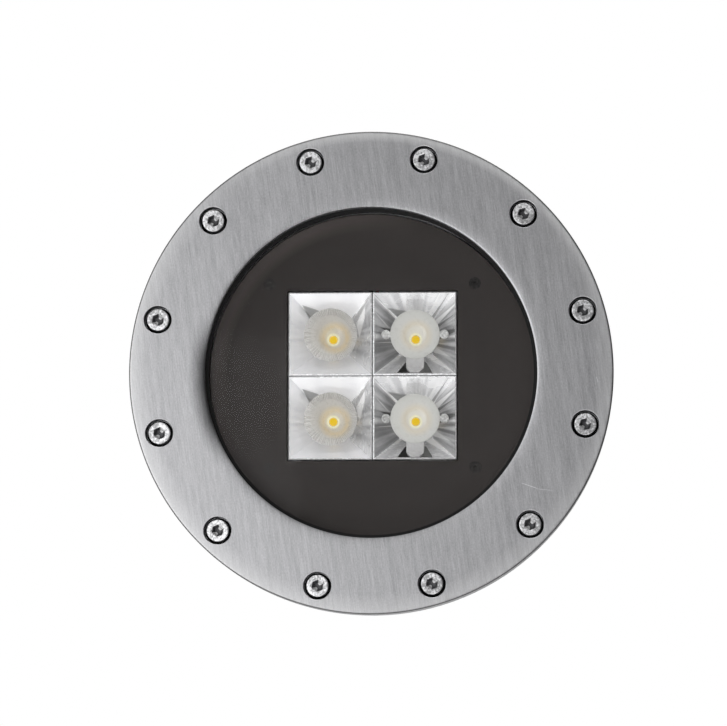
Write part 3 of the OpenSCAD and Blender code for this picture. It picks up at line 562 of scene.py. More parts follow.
def wedge(made, way, turn, wide, tip, half, aside=0.0):
    """1 inside a wedge and 0 outside it. The wedge points along a turn in degrees, lies aside
    of the axis, and has half a width at one distance along it and none at the other."""
    t = math.radians(turn)
    along, beside = (vector(made, "DOT_PRODUCT", way, (x / MM, 0, z / MM))
        for x, z in ((math.cos(t), math.sin(t)), (-math.sin(t), math.cos(t))))
    off = arith(made, "ABSOLUTE", arith(made, "SUBTRACT", beside, aside))
    near = arith(made, "ADD", arith(made, "DIVIDE", off, half),
        shared_out(made, along, 0, 1, wide, tip))
    return shared_out(made, near, 1, 0, 0.8, 1.03)


def plating(name, low, high, metallic, roughness, depth, count=5, painted_light_marks=(), painted_glow=0.0, grit=0.2):
    """Bright plating over a slightly uneven moulding, for one wall of the reflectors, with
    painted light: low and high are the wall's tones, set by how that wall is lit and what it
    mirrors. painted_light_marks are painted reflections and painted shade, as tone and wedge,
    painted_glow is an emission that paints on the light the lens throws on the wall, and grit
    the share of its fine grain."""
    made = finish(name, (high, high, high), roughness, metallic, Emission_Strength=painted_glow)
    way = from_cell_axis(made)
    rays = streaks(made, way, count, 20.0)
    waves = speck(made, (5.0, 5.0, 5.0), 0.5)
    fine = speck(made, (0.8, 0.8, 0.8), 3.0)
    tone = colours(made, mixed(made, rays, fine, grit), (low, low, low * 1.02),
        (high, high, high * 1.01), 0.38, 0.62)
    # Painted reflections and painted shade laid over the tone
    for shade, *place in painted_light_marks:
        tone = toned(made, tone, wedge(made, way, *place), shade)
    lead(made, tone, "Base Color")
    lead(made, tone, "Emission Color")
    sheen(made, waves, max(0.05, roughness - 0.04), roughness + 0.06)
    relief(made, mixed(made, rays, waves, 0.4), depth)
    return made


def lens_radius(made, right=0.0, up=0.0, inward=0.0):
    """Distance in millimetres from the axis of the nearest lens, or from a point beside it,
    inward meaning towards the middle of the four."""
    where = here(made)
    folded = vector(made, "ABSOLUTE", where)
    if right or up:
        moved = vector(made, "MULTIPLY", vector(made, "SIGN", where), (right * MM, 0, up * MM))
        folded = vector(made, "SUBTRACT", folded, moved)
    middle = (CELL_HALF - inward) * MM
    placed = add(made, "Mapping", [("Vector", folded), ("Location", (middle, 0, middle)),
        ("Scale", (MM, MM, MM))], vector_type="TEXTURE")
    return vector(made, "LENGTH", flat(made, placed.outputs["Vector"]))


def lens_face(name, tones, solid, ribs, painted_glow):
    """The top of a lens: frosted and tinted, clear where the LED shows. tones are colours from
    the axis to the rim, solid is the opacity, and ribs how strongly fine ribs show by the rim,
    as a painted highlight that is strongest towards the lower left. painted_glow is where its
    amber ring lies and how strong it is: a painted reflection of the phosphor's colour as the
    lens spreads it. The cream halo round the LED is painted light as well."""
    made = finish(name, tones[0], 0.3, Specular_IOR_Level=0.6)
    radius = lens_radius(made)
    rings = add(made, "TexNoise", [("Vector", add(made, "CombineXYZ", [(0, radius)]).outputs[0]),
        ("Scale", 1.6), ("Detail", 2.0)]).outputs["Fac"]
    fine = speck(made, (1.4, 1.4, 1.4), 3.0)
    wavy = mixed(made, rings, fine, 0.4)
    shift = arith(made, "ADD", radius, shared_out(made, wavy, -1.2, 1.2, 0.3, 0.7))
    base = ramped(made, shared_out(made, shift, 0, 1, 0, 13),
        [(i / (len(tones) - 1), tone) for i, tone in enumerate(tones)])
    if ribs:
        way = from_cell_axis(made)
        rays = streaks(made, way, 34.0, 30.0)
        # Painted highlight: the ribs are paler towards the lower left
        lower_left = vector(made, "DOT_PRODUCT", way, (-0.8 / MM, 0, -0.6 / MM))
        share = arith(made, "MULTIPLY", shared_out(made, radius, 0, 1, 6.0, 10.5),
            shared_out(made, rays, 0, ribs, 0.42, 0.6))
        share = arith(made, "MULTIPLY", share, shared_out(made, lower_left, 0.1, 1, -3, 7))
        base = blend(made, share, base, (0.95, 0.94, 0.92, 1))
    # Painted reflection: an amber ring of the phosphor's colour as the lens spreads it
    beside = lens_radius(made, *painted_glow[0])
    painted_amber_ring = ramped(made, shared_out(made, beside, 0, 1, 0, 9),
        [(0.0, (0, 0, 0)), (0.42, (0.25, 0.25, 0.25)), (0.6, (1, 1, 1)), (0.9, (0, 0, 0))])
    share = arith(made, "MULTIPLY", painted_amber_ring, shared_out(made, wavy, 0.2, painted_glow[1], 0.3, 0.7))
    tint = blend(made, share, base, (0.70, 0.50, 0.18, 1))
    spot = lens_radius(made, *LED_SPOT, LED_DRAW)
    # Painted light: a cream halo round where the LED shows
    painted_led_halo = shared_out(made, spot, 1, 0, 2.2, 3.4)
    lead(made, blend(made, painted_led_halo, tint, (1.0, 0.96, 0.66, 1)), "Base Color")
    lead(made, shared_out(made, spot, 0.02, solid, 1.7, 2.2), "Alpha")
    sheen(made, fine, 0.22, 0.42)
    relief(made, wavy, 0.05)
    return made


def lens_side(name, colour, opacity):
    """The side of a lens: nearly clear, so that the reflector shows through it."""
    made = finish(name, colour, 0.25)
    wavy = speck(made, (2.5, 2.5, 2.5), 3.0)
    colours(made, wavy, [c * 0.8 for c in colour], [min(1, c * 1.1) for c in colour])
    lead(made, shared_out(made, wavy, opacity * 0.7, opacity * 1.3, 0.3, 0.7), "Alpha")
    relief(made, wavy, 0.06)
    return made


def clear_glass():
    """The cover glass: clear, with a trace of wiping in its polish."""
    made = finish("glass", (0.93, 0.96, 0.95), 0.03, Alpha=0.06, IOR=1.5, Transmission_Weight=1.0)
    wiped = speck(made, (40.0, 40.0, 6.0), 3.0, (0, 0.6, 0))
    sheen(made, wiped, 0.02, 0.08)
    relief(made, wiped, 0.002)
    return made


brushed = brushed_steel()
pot_steel = lathed("turned_steel", (0.50, 0.50, 0.515), 0.36)
gland_steel = lathed("gland_steel", (0.54, 0.54, 0.555), 0.3, 0.25, (0, -GLAND_DROP))
screw_steel = speckled("screw_steel", (0.68, 0.68, 0.69), 0.36, 0.8, 1.0, 0.42, 0.07, 0.07)
# Painted shade for the socket's depth and a painted highlight for two of its sides
socket_painted_shade = speckled("socket_painted_shade", (0.10, 0.10, 0.105), 0.45, 0.6, 0.4, 0.4)
shank_steel = speckled("shank_steel", (0.60, 0.60, 0.61), 0.32, 1.0, 0.5, 0.06)
socket_painted_highlight = speckled("socket_painted_highlight", (0.86, 0.86, 0.87), 0.4, 0.2, 0.7, 0.2)
black_rubber = speckled("black_rubber", (0.010, 0.010, 0.010), 0.7, grain=0.4,
    Specular_IOR_Level=0.2)
mask_paint = matt_mask()
black_steel = speckled("black_screws", (0.029, 0.0265, 0.0255), 0.45, 0.4, 1.2, 0.6, soft=0.1)
brass = lathed("brass", (0.72, 0.55, 0.28), 0.3)

# Painted reflections and painted shade on the walls, as tone, turn, distances of the wide end
# and the tip, half a width, step aside
PAINTED_DARK_LEAF = (0.36, 141, 12.6, 20.0, 3.2, -2.7)
# Each wall's tones, painted marks and painted glow stand for how it is lit and what it mirrors
left_walls_painted_light = {
    "top": plating("plating_left_top", 0.92, 1.0, 0.2, 0.35, 0.08, 5, [PAINTED_DARK_LEAF], 0.25),
    "left": plating("plating_left_side", 0.76, 1.0, 0.3, 0.35, 0.25, 9, [PAINTED_DARK_LEAF,
        (1.0, 148, 12.0, 22.0, 1.4)], 0.18, 0.4),
    "bottom": plating("plating_left_bottom", 0.84, 0.90, 0.3, 0.35, 0.08, 4, (), 0.105, 0.1),
    "right": plating("plating_left_inner", 0.44, 0.72, 0.45, 0.25, 0.2, 6, [
        (1.0, -91.4, -8.1, 1.2, 2.6, 13.0), (0.46, 51.3, 12.0, 26.5, 1.7, -3.5)], 0.10, 0.15),
}
right_walls_painted_light = {
    "top": plating("plating_right_top", 0.66, 1.0, 0.3, 0.25, 0.3, 7, [
        (0.34, 156, 9.1, 18.6, 2.7, -6.4), (1.0, 139, 9.0, 29.0, 0.9, -0.9),
        (1.0, 58, 10.0, 27.0, 0.9), (0.40, 50, 11.0, 26.0, 0.7)], 0.31, 0.15),
    "left": plating("plating_right_inner", 0.30, 0.66, 0.55, 0.2, 0.5, 8, [
        (1.0, 139, 9.0, 29.0, 0.9, -0.9), (0.8, 134, 9.0, 22.0, 0.45, 6.2),
        (0.75, 193, 9.0, 20.0, 0.5), (0.12, 168, 9.0, 17.0, 2.2)], 0.17, 0.15),
    "bottom": plating("plating_right_bottom", 0.46, 0.76, 0.45, 0.25, 0.3, 5, [
        (1.0, -40, 11.0, 29.0, 1.8, -2.4), (0.95, -134, 10.0, 28.0, 1.6)], 0.12, 0.2),
    "right": plating("plating_right_side", 0.26, 0.80, 0.45, 0.2, 0.5, 9, [
        (0.16, 4, 10.0, 24.0, 2.2), (1.0, -33, 11.0, 20.0, 1.3), (0.98, 36, 10.0, 27.0, 1.6),
        (0.25, 26, 10.0, 22.0, 0.9)], 0.08, 0.12),
}
unplated = speckled("reflector_back", (0.012, 0.012, 0.013), 0.6, grain=0.4,
    Specular_IOR_Level=0.1)
# The rim's glow is painted light as well
rim_plating = plating("plating_rim", 0.55, 0.98, 0.4, 0.25, 0.1, 30, (), 0.1, 0.6)
ribbed_lens_face = lens_face("ribbed_lens_face", [(0.78, 0.73, 0.56), (0.68, 0.64, 0.55),
    (0.58, 0.55, 0.50), (0.56, 0.54, 0.505), (0.58, 0.57, 0.55)], 0.95, 0.55, ((2.2, -1.6), 0.8))
plain_lens_face = lens_face("plain_lens_face", [(0.84, 0.81, 0.70), (0.80, 0.78, 0.71),
    (0.72, 0.71, 0.67), (0.66, 0.66, 0.63), (0.57, 0.57, 0.55)], 0.97, 0.0, ((0.6, -0.6), 0.25))
ribbed_lens_side = lens_side("ribbed_lens_side", (0.85, 0.85, 0.85), 0.10)
plain_lens_side = lens_side("plain_lens_side", (0.40, 0.40, 0.40), 0.25)
arm_plastic = speckled("lens_arm_plastic", (0.62, 0.615, 0.615), 0.35, grain=1.0, spread=0.1,
    Alpha=0.85)
clear_arm = speckled("lens_arm_clear", (0.50, 0.50, 0.50), 0.3, grain=1.0, spread=0.1, Alpha=0.14)
lug_plastic = speckled("lens_lug_plastic", (0.62, 0.62, 0.61), 0.3, grain=0.9, spread=0.4,
    soft=0.12)
silicone_dome = lens_side("led_silicone", (0.80, 0.74, 0.50), 0.04)
ceramic = speckled("led_ceramic", (0.85, 0.84, 0.80), 0.4, grain=0.3, spread=0.04)
# The phosphor's emission is painted light: it glows though the LED is off
phosphor = speckled("phosphor", (0.85, 0.50, 0.01), 0.5, grain=0.12, spread=0.1,
    Emission_Color=(0.92, 0.60, 0.0, 1), Emission_Strength=0.78)
white_board = speckled("white_board", (0.82, 0.82, 0.80), 0.45, grain=0.6, spread=0.04)
green_board = speckled("green_board", (0.02, 0.16, 0.07), 0.35, grain=1.2, spread=0.25)
pad_silicone = speckled("pad_silicone", (0.55, 0.58, 0.60), 0.7, grain=0.5)
aluminium = lathed("aluminium", (0.72, 0.73, 0.75), 0.34, 0.5)
ferrite = speckled("ferrite", (0.04, 0.04, 0.045), 0.65, grain=0.3, spread=0.3)
copper = speckled("copper_wire", (0.66, 0.28, 0.10), 0.28, 1.0, 0.3, 0.15)
sleeve = speckled("capacitor_sleeve", (0.02, 0.03, 0.07), 0.35, grain=0.8)
black_plastic = speckled("black_plastic", (0.02, 0.02, 0.02), 0.5, grain=0.3)
green_plastic = speckled("green_plastic", (0.05, 0.30, 0.14), 0.45, grain=0.4)
white_plastic = speckled("white_plastic", (0.80, 0.79, 0.75), 0.45, grain=0.4, spread=0.05)
red_silicone = speckled("red_insulation", (0.50, 0.02, 0.015), 0.5, grain=0.4)
black_silicone = speckled("black_insulation", (0.02, 0.02, 0.02), 0.5, grain=0.4)
glass = clear_glass()


# Camera, light and floor

def face_from(thing, spot, aim):
    """Puts a camera or lamp into the scene at a spot, facing a point."""
    thing.location = spot
    thing.rotation_euler = (Vector(aim) - Vector(spot)).to_track_quat("-Z", "Y").to_euler()
    bpy.context.scene.collection.objects.link(thing)


def add_camera():
    """The photograph's view: from 2 m, a little to the right of the light and below it."""
    turn, rise, distance = math.radians(2.33), math.radians(-5.72), 2.0
    spot = distance * Vector((math.sin(turn) * math.cos(rise), -math.cos(turn) * math.cos(rise),
        math.sin(rise)))
    look = -spot.normalized()
    right = look.cross(Vector((0, 0, 1))).normalized()
    # The light stands a little off the picture's middle
    aim = -0.00433 * right + 0.00638 * right.cross(look)
    camera = bpy.data.objects.new("photo_view", bpy.data.cameras.new("photo_view"))
    camera.data.sensor_width, camera.data.lens = 36.0, 215.8
    face_from(camera, spot, aim)
    bpy.context.scene.camera = camera


# Soft lights: name, place, width and height in metres, watts, and the point that each faces
LAMPS = [
    ("near_left", (-0.80, -0.90, 0.15), (1.0, 1.0), 2.5, (-0.1, 0, 0.15)),
    ("near_front", (-0.47, -1.30, -0.08), (0.75, 0.5), 2.7, (-0.05, 0, -0.03)),
    ("above", (0.0, -0.45, 1.2), (1.4, 0.8), 9.6, (0, 0, 0)),
    ("below", (0.0, -0.20, -0.34), (1.2, 0.4), 1.3, (0, -0.1, 0)),
    ("side_left", (-1.2, -0.5, 0.05), (0.8, 0.8), 3.0, (0, 0, 0.05)),
    ("side_right", (1.3, -0.8, 0.17), (1.0, 1.0), 0.7, (0, 0, 0.17)),
    ("rear_left", (-1.0, 1.3, 0.9), (1.0, 1.0), 14.0, (0, 0.1, 0)),
    ("rear_right", (1.1, 1.2, 0.7), (0.8, 1.2), 9.0, (0, 0.1, 0)),
]
AMBIENT = 0.23
DIM_SIDE = 0.05
FLOOR = -0.6
FLOOR_GLOW = 0.58


def add_softbox(name, spot, size, power, aim):
    """A square soft light that faces a point."""
    lamp = bpy.data.objects.new(name, bpy.data.lights.new(name, "AREA"))
    lamp.data.shape = "RECTANGLE"
    lamp.data.size, lamp.data.size_y = size
    lamp.data.energy = power
    face_from(lamp, spot, aim)


def add_studio():
    """A white room as the camera sees it, dimmer as the light's surfaces see it, most of all
    to the right."""
    bpy.context.scene.view_settings.view_transform = "Standard"
    world = bpy.data.worlds.new("studio")
    bpy.context.scene.world = world
    world.use_nodes = True
    nodes = world.node_tree.nodes
    seen = nodes["Background"]
    seen.inputs["Color"].default_value = (1, 1, 1, 1)
    way = add(world, "SeparateXYZ", [(0, add(world, "TexCoord").outputs["Generated"])])
    dim = shared_out(world, way.outputs["X"], AMBIENT, DIM_SIDE, 0.1, 0.75)
    lit = add(world, "Background", [("Color", (1, 1, 1, 1)), ("Strength", dim)])
    both = add(world, "MixShader", [(0, add(world, "LightPath").outputs["Is Camera Ray"]),
        (1, lit.outputs[0]), (2, seen.outputs[0])])
    world.node_tree.links.new(both.outputs[0], nodes["World Output"].inputs["Surface"])
    for lamp in LAMPS:
        add_softbox(*lamp)
    deselect()
    bpy.ops.mesh.primitive_plane_add(size=40.0, location=(0, 0, FLOOR))
    floor = settle(bpy.context.object)
    floor.name = "floor"
    pale = speckled("floor_paint", (0.80, 0.80, 0.80), 0.7, grain=2.0, spread=0.02,
        Emission_Color=(1, 1, 1, 1))
    eye = add(pale, "LightPath").outputs["Is Camera Ray"]
    lead(pale, shared_out(pale, eye, 0, FLOOR_GLOW), "Emission Strength")
    clad(floor, pale)


# Pieces

def ring_places(start):
    """Turns of every second screw round the ring, in degrees."""
    return [SCREW_TURN + 30 * i for i in range(start, 12, 2)]


def on_circle(turn):
    """The move from the middle of the ring to a screw's place."""
    return Matrix.Rotation(math.radians(turn), 4, "Z") @ Matrix.Translation(
        (SCREW_CIRCLE_R * MM, 0, 0))


def make_ring():
    """Front ring: rolled edges and twelve counterbored holes with their edges just broken."""
    rim = rounded((RING_R - RIM_ROLL[0], FACE_Z - RIM_ROLL[1]), RIM_ROLL, 0, 90)
    mouth = rounded((VIEW_R + MOUTH_ROLL[0], FACE_Z - MOUTH_ROLL[1]), MOUTH_ROLL, 90, 155)
    ring = turned("front_ring_brushed", [(POCKET_R, FLANGE_Z), (RING_R - 0.3, FLANGE_Z),
        (RING_R, FLANGE_Z + 0.3), *rim, *mouth, (VIEW_R, FACE_Z - MOUTH_ROLL[1]),
        (VIEW_R, LIP_Z + 0.2), (VIEW_R + 0.2, LIP_Z), (POCKET_R, LIP_Z),
        (POCKET_R, FLANGE_Z)], 240)
    for turn in ring_places(0) + ring_places(1):
        t = math.radians(turn)
        place = (SCREW_CIRCLE_R * math.cos(t), SCREW_CIRCLE_R * math.sin(t))
        carved(ring, turned("cutter", [(0, FLANGE_Z - 2), (SCREW_HOLE_R, FLANGE_Z - 2),
            (SCREW_HOLE_R, WASHER_Z), (COUNTERBORE_R, WASHER_Z), (COUNTERBORE_R, FACE_Z - 0.2),
            (COUNTERBORE_R + 0.6, FACE_Z + 0.4), (0, FACE_Z + 0.4)], 48, place))
    fit(smooth(stand(ring)), brushed, "brushed_steel", "front_ring")


def screw_head():
    """A socket head with a knurled side, a rolled top edge and a hexagon socket."""
    top = HEAD_Z + HEAD_H
    head = turned("head", [(0, HEAD_Z), (HEAD_R - 0.25, HEAD_Z), (HEAD_R, HEAD_Z + 0.25),
        (HEAD_R, HEAD_Z + 0.9), (HEAD_R, top - 1.1), (HEAD_R, top - 0.55),
        *rounded((HEAD_R - 0.55, top - 0.55), (0.55, 0.55), 15, 90, 5), (0, top)], 2 * KNURLS)

    def groove(x, y, z):
        """Every second line of the knurled band."""
        step = round(math.degrees(math.atan2(y, x)) * KNURLS / 180)
        return HEAD_Z + 0.8 < z < top - 1.0 and step % 2 == 0

    pick(head, groove)
    edit("VERT")
    bpy.ops.transform.resize(value=(KNURL_FLOOR, KNURL_FLOOR, 1), center_override=(0, 0, 0))
    leave()
    carved(head, turned("socket", [(0, top - 3.9), (0.9, top - 3.5), (1.8, top - 3.3),
        (SOCKET_R, top - 0.5), (SOCKET_R, top + 0.5), (0, top + 0.5)], 6))
    return carved(head, turned("lead_in", [(0, top - 0.45), (2.45, top - 0.45),
        (3.3, top + 0.4), (0, top + 0.4)], 48))


def thread(radius, top, low, pitch=1.0):
    """The profile of a threaded end, from its top down to a chamfered tip."""
    root = radius - 0.4
    points = []
    level = top
    while level - pitch > low + 0.6:
        points += [(radius, level), (radius, level - 0.2), (root, level - 0.55),
            (root, level - 0.65)]
        level -= pitch
    return points + [(radius, level), (radius, low + 0.6), (radius - 0.6, low), (0, low)]


def make_ring_screws():
    """The twelve screws: six short ones into the flange and six through to the wall."""
    head = screw_head()
    short = turned("short_shank", [(0, HEAD_Z), *thread(SHANK_R, HEAD_Z, SHORT_END_Z)], 40)
    long = turned("long_shank", [(0, HEAD_Z), (SHANK_R, HEAD_Z), (SHANK_R, 0.4),
        *thread(STUD_R, 0.0, LONG_END_Z)], 40)
    chance = random.Random(5)
    for start, shank, node, name in ((0, short, "ring_screws", "ring_screw"),
            (1, long, "mounting_screws", "mounting_screw")):
        whole = smooth(join([copied(head, "whole", Matrix()), shank], "whole"), 28)
        clad(whole, screw_steel, socket_painted_shade, socket_painted_highlight, shank_steel)
        # Places of the materials: 0 outside, 1 socket in painted shade, 2 its lit sides in a
        # painted highlight, 3 shank
        for face in whole.data.polygons:
            x, y, z = face.center / MM
            out = math.hypot(x, y)
            deep = HEAD_Z + 1 < z < HEAD_Z + HEAD_H - 0.6 and out < 2.55
            lit = abs(math.sin(math.atan2(y, x))) < 0.4 and out > 0.9
            face.material_index = 3 if z < HEAD_Z - 0.1 else 0 if not deep else 2 if lit else 1
        for number, turn in enumerate(ring_places(start), 1):
            spin = Matrix.Rotation(math.radians(48 - turn + chance.uniform(-7, 7)), 4, "Z")
            screw = stand(copied(whole, f"{name}_{number}", on_circle(turn) @ spin))
            fit(screw, None, "screw_steel", node)
        bpy.data.objects.remove(whole)
    bpy.data.objects.remove(head)


def make_washers():
    """Black washers with soft edges under the twelve heads."""
    washer = turned("washer", [(SCREW_HOLE_R, 16.0), (SCREW_HOLE_R + 0.2, WASHER_Z),
        (WASHER_R - 0.2, WASHER_Z), (WASHER_R, 16.0), (WASHER_R, 17.0),
        *rounded((WASHER_R - 0.4, 17.0), (0.4, 0.4), 0, 90, 4), (SCREW_HOLE_R + 0.2, HEAD_Z),
        (SCREW_HOLE_R, 17.2), (SCREW_HOLE_R, 16.0)], 64)
    smooth(washer)
    for number, turn in enumerate(ring_places(0) + ring_places(1), 1):
        fit(stand(copied(washer, f"screw_washer_{number}", on_circle(turn))), black_rubber,
            "black_rubber", "screw_washers")
    bpy.data.objects.remove(washer)


def arm_notch(x, y):
    """A cutter for the notch that a lens's lower arm lies in, wider towards the rim."""
    inner, reach, top, depth, width, wider = 12.4, 5.6, 5.2, 14.0, 9.6, 1.7
    notch = sheet((x, y - inner, top), width, 0.4)
    edit(everything=True)
    bpy.ops.mesh.extrude_region_move(TRANSFORM_OT_translate={"value": (0, 0, -depth * MM)})
    leave()
    pick(notch, lambda px, py, pz: py < y - inner)
    edit()
    bpy.ops.transform.translate(value=(0, -reach * MM, 0))
    bpy.ops.transform.resize(value=(wider, 1, 1), center_override=(x * MM, 0, 0))
    leave()
    return outward(notch)


def make_reflector(name, across, up):
    """A square mirror cup with a rolled rim, soft corners, and four legs with pegs."""
    deselect()
    x0, y0 = across * CELL_HALF, up * CELL_HALF
    centre = (x0 * MM, y0 * MM)
    bpy.ops.mesh.primitive_plane_add(size=2 * FOOT_HALF * MM, location=(*centre, FOOT_Z * MM))
    cup = settle(bpy.context.object)
    edit(everything=True)
    bpy.ops.mesh.delete(type="ONLY_FACE")
    bpy.ops.mesh.select_mode(type="EDGE")
    bpy.ops.mesh.select_all(action="SELECT")
    levels = 6
    rise = (RIM_Z - FOOT_Z) / levels
    halves = [FOOT_HALF + (MOUTH_HALF - FOOT_HALF) * i / levels for i in range(levels + 1)]
    for step, (low, high) in enumerate(zip(halves, halves[1:]), 1):
        draw_out((0, 0, rise))
        bpy.ops.transform.resize(value=(high / low, high / low, 1),
            center_override=(*centre, (FOOT_Z + rise * step) * MM))
    leave()
    outward(cup)
    edit(everything=True)
    bpy.ops.mesh.flip_normals()
    leave()
    applied(cup, "SOLIDIFY", thickness=REFLECTOR_WALL * MM, offset=-1.0, use_even_offset=True)
    if across > 0:
        carved(cup, arm_notch(x0, y0))
    broken(cup, 0.12, 35)
    for i, j in ((across, 0), (0, up)):
        pick(cup, lambda x, y, z: z > RIM_Z - 0.5 and i * x + j * y > 2 * CELL_HALF - 0.35)
        push((i * LIP, j * LIP, 0))
        pick(cup, lambda x, y, z: z > RIM_Z - 0.6 and i * x + j * y < 0.4)
        push((-i * MEET, -j * MEET, 0))
    smooth(cup, 50)
    legs = [turned("leg", [(0, PEG_END_Z), (PEG_R - 0.2, PEG_END_Z), (PEG_R, PEG_END_Z + 0.2),
        (PEG_R, BOARD_Z), (LEG_R, BOARD_Z), (LEG_R, FOOT_Z + 0.6), (0, FOOT_Z + 0.6)], 24,
        (x0 + i * LEG_STEP, y0 + j * LEG_STEP)) for i in (-1, 1) for j in (-1, 1)]
    cup = join([cup, *legs], name + "_plated")
    clad(cup, rim_plating, unplated, *(left_walls_painted_light if across < 0 else right_walls_painted_light).values())
    # Places of the materials: 0 rim, 1 back, 2 to 5 the walls at the top, left, bottom, right
    for face in cup.data.polygons:
        x, y, z = face.normal
        if z < 0.2:
            face.material_index = 1
        elif z > 0.62:
            face.material_index = 0
        elif abs(y) > abs(x):
            face.material_index = 2 if y < 0 else 4
        else:
            face.material_index = 5 if x < 0 else 3
    fit(stand(cup), None, "reflector_plating", name)


def cone_points(foot, top, steps=8):
    """The lens's bowl-shaped side, from its foot up to its disc."""
    return [(top - (top - foot) * (1 - i / steps) ** 1.3,
        FOOT_Z + (LENS_DISC_Z - FOOT_Z) * i / steps) for i in range(steps + 1)]


def lens_arm(at, side, radius):
    """One arm of a lens: out from the disc, then up along the reflector's wall."""
    start, foot = radius - 1.2, 15.4
    tip, tip_z = 17.7, 4.9
    bend = ((foot + tip) / 2, 2.7)
    arm = sheet((at[0], at[1] + side * (start + foot) / 2, LENS_DISC_Z + 0.2), 8.2, foot - start)
    pick(arm, lambda x, y, z: side * (y - at[1]) > foot - 0.1)
    edit("VERT")
    for (y0, z0), (y1, z1), width in (((foot, LENS_DISC_Z + 0.2), bend, 0.86),
            (bend, (tip, tip_z), 0.62)):
        draw_out((0, side * (y1 - y0), z1 - z0))
        bpy.ops.transform.resize(value=(width, 1, 1), center_override=(at[0] * MM, 0, 0))
    leave()
    outward(arm)
    applied(arm, "SOLIDIFY", thickness=0.9 * MM, offset=0.0, use_even_offset=True)
    return broken(arm, 0.2)


def lens_lug(at, side, radius):
    """One round lug beside a lens, with the neck that joins it to the disc."""
    place = (at[0] + side * (radius + 2.0), at[1])
    lug = turned("lug", [(0, LENS_DISC_Z), (1.9, LENS_DISC_Z), (2.1, LENS_DISC_Z + 0.2),
        *rounded((1.75, LENS_TOP_Z - 0.35), (0.35, 0.35), 0, 90, 4), (1.2, LENS_TOP_Z),
        (1.0, LENS_TOP_Z - 0.25), (0, LENS_TOP_Z - 0.25)], 40, place)
    deselect()
    bpy.ops.mesh.primitive_cube_add(size=1, location=((at[0] + side * (radius + 0.3)) * MM,
        at[1] * MM, (LENS_DISC_Z + 0.6) * MM))
    neck = bpy.context.object
    neck.scale = (2.0 * MM, 2.4 * MM, 1.1 * MM)
    settle(neck)
    return [lug, broken(neck, 0.15)]


def make_lens(name, across, up):
    """A frosted lens on its skirt; the left ones have fine ribs round the disc's edge, the
    right ones a round lug on either side and an arm above and below."""
    ribbed = across < 0
    radius = LEFT_LENS_R if ribbed else RIGHT_LENS_R
    dish = radius * 0.5
    at = (across * CELL_HALF, up * CELL_HALF)
    edge = 3.4 if ribbed else 1.0
    lens = turned("lens", [(0, BOARD_Z + 0.02), (LENS_FOOT_R, BOARD_Z + 0.02),
        *cone_points(LENS_FOOT_R, radius - 1), (radius - 0.15, LENS_DISC_Z),
        (radius, LENS_DISC_Z + 0.15), (radius, LENS_TOP_Z - 0.3),
        *rounded((radius - 0.3, LENS_TOP_Z - 0.3), (0.3, 0.3), 20, 90, 4),
        (radius - edge, LENS_TOP_Z), (dish, LENS_TOP_Z), (dish * 0.8, LENS_TOP_Z - 0.25),
        (dish * 0.5, LENS_TOP_Z - 0.6), (0, LENS_TOP_Z - 0.6)], LENS_STEPS, at)

    def between_ribs(x, y, z):
        """Every second line of the disc's edge."""
        out = math.hypot(x - at[0], y - at[1])
        step = round(math.degrees(math.atan2(y - at[1], x - at[0])) * LENS_STEPS / 360)
        return z > LENS_DISC_Z + 0.2 and out > radius - 0.4 and step % 2 == 0

    more = []
    if ribbed:
        pick(lens, between_ribs)
        push((0, 0, -RIB_DEPTH))
    else:
        more = [lens_arm(at, 1, radius), lens_arm(at, -1, radius), *lens_lug(at, 1, radius),
            *lens_lug(at, -1, radius)]
    lens = join([lens, *more], name + "_frosted")
    sides = (ribbed_lens_face, ribbed_lens_side) if ribbed else (plain_lens_face, plain_lens_side)
    clad(lens, *sides, arm_plastic, clear_arm, lug_plastic)
    # Places of the materials: 0 face, 1 side, 2 lower arm, 3 upper arm, 4 lugs
    for face in lens.data.polygons:
        away = face.center.xy / MM - Vector(at)
        if away.length > radius + 0.05 and abs(away.y) > 6:
            face.material_index = 2 if away.y < 0 else 3
        else:
            top = face.center.z > (LENS_DISC_Z + 0.1) * MM
            lug = abs(away.x) > radius + 0.15
            face.material_index = 4 if top and lug else 0 if top else 1
    smooth(stand(lens), 25)
    lens.visible_shadow = False
    fit(lens, None, "lens_plastic", name)


def make_led(corner, across, up):
    """A yellow phosphor disc under a clear silicone dome, a little nearer the middle, as its
    lens shows it; the white base stays the CAD's."""
    at = (across * (CELL_HALF - LED_DRAW), up * (CELL_HALF - LED_DRAW))
    base = BOARD_Z + 1.2
    node = "led_phosphor_" + corner
    disc = turned(node + "_disc", [(0, base), (2.1, base), (2.15, base + 0.1),
        (2.1, base + 0.36), (1.9, base + 0.4), (0, base + 0.4)], 48, at)
    fit(stand(disc), phosphor, "phosphor", node)
    dome = turned(node + "_dome", [(0, base + 0.42), (2.8, base + 0.42),
        *rounded((0, base + 0.42), (2.8, 2.4), 5, 85, 8), (0, base + 2.8)], 48, at)
    fit(smooth(stand(dome)), silicone_dome, "phosphor", node)


def between(p, a, b, q, t):
    """A point between a and b on the smooth curve that runs a to b on its way from p to q."""
    return [(2 * a[i] + (b[i] - p[i]) * t + (2 * p[i] - 5 * a[i] + 4 * b[i] - q[i]) * t * t
        + (3 * a[i] - p[i] - 3 * b[i] + q[i]) * t ** 3) / 2 for i in range(3)]


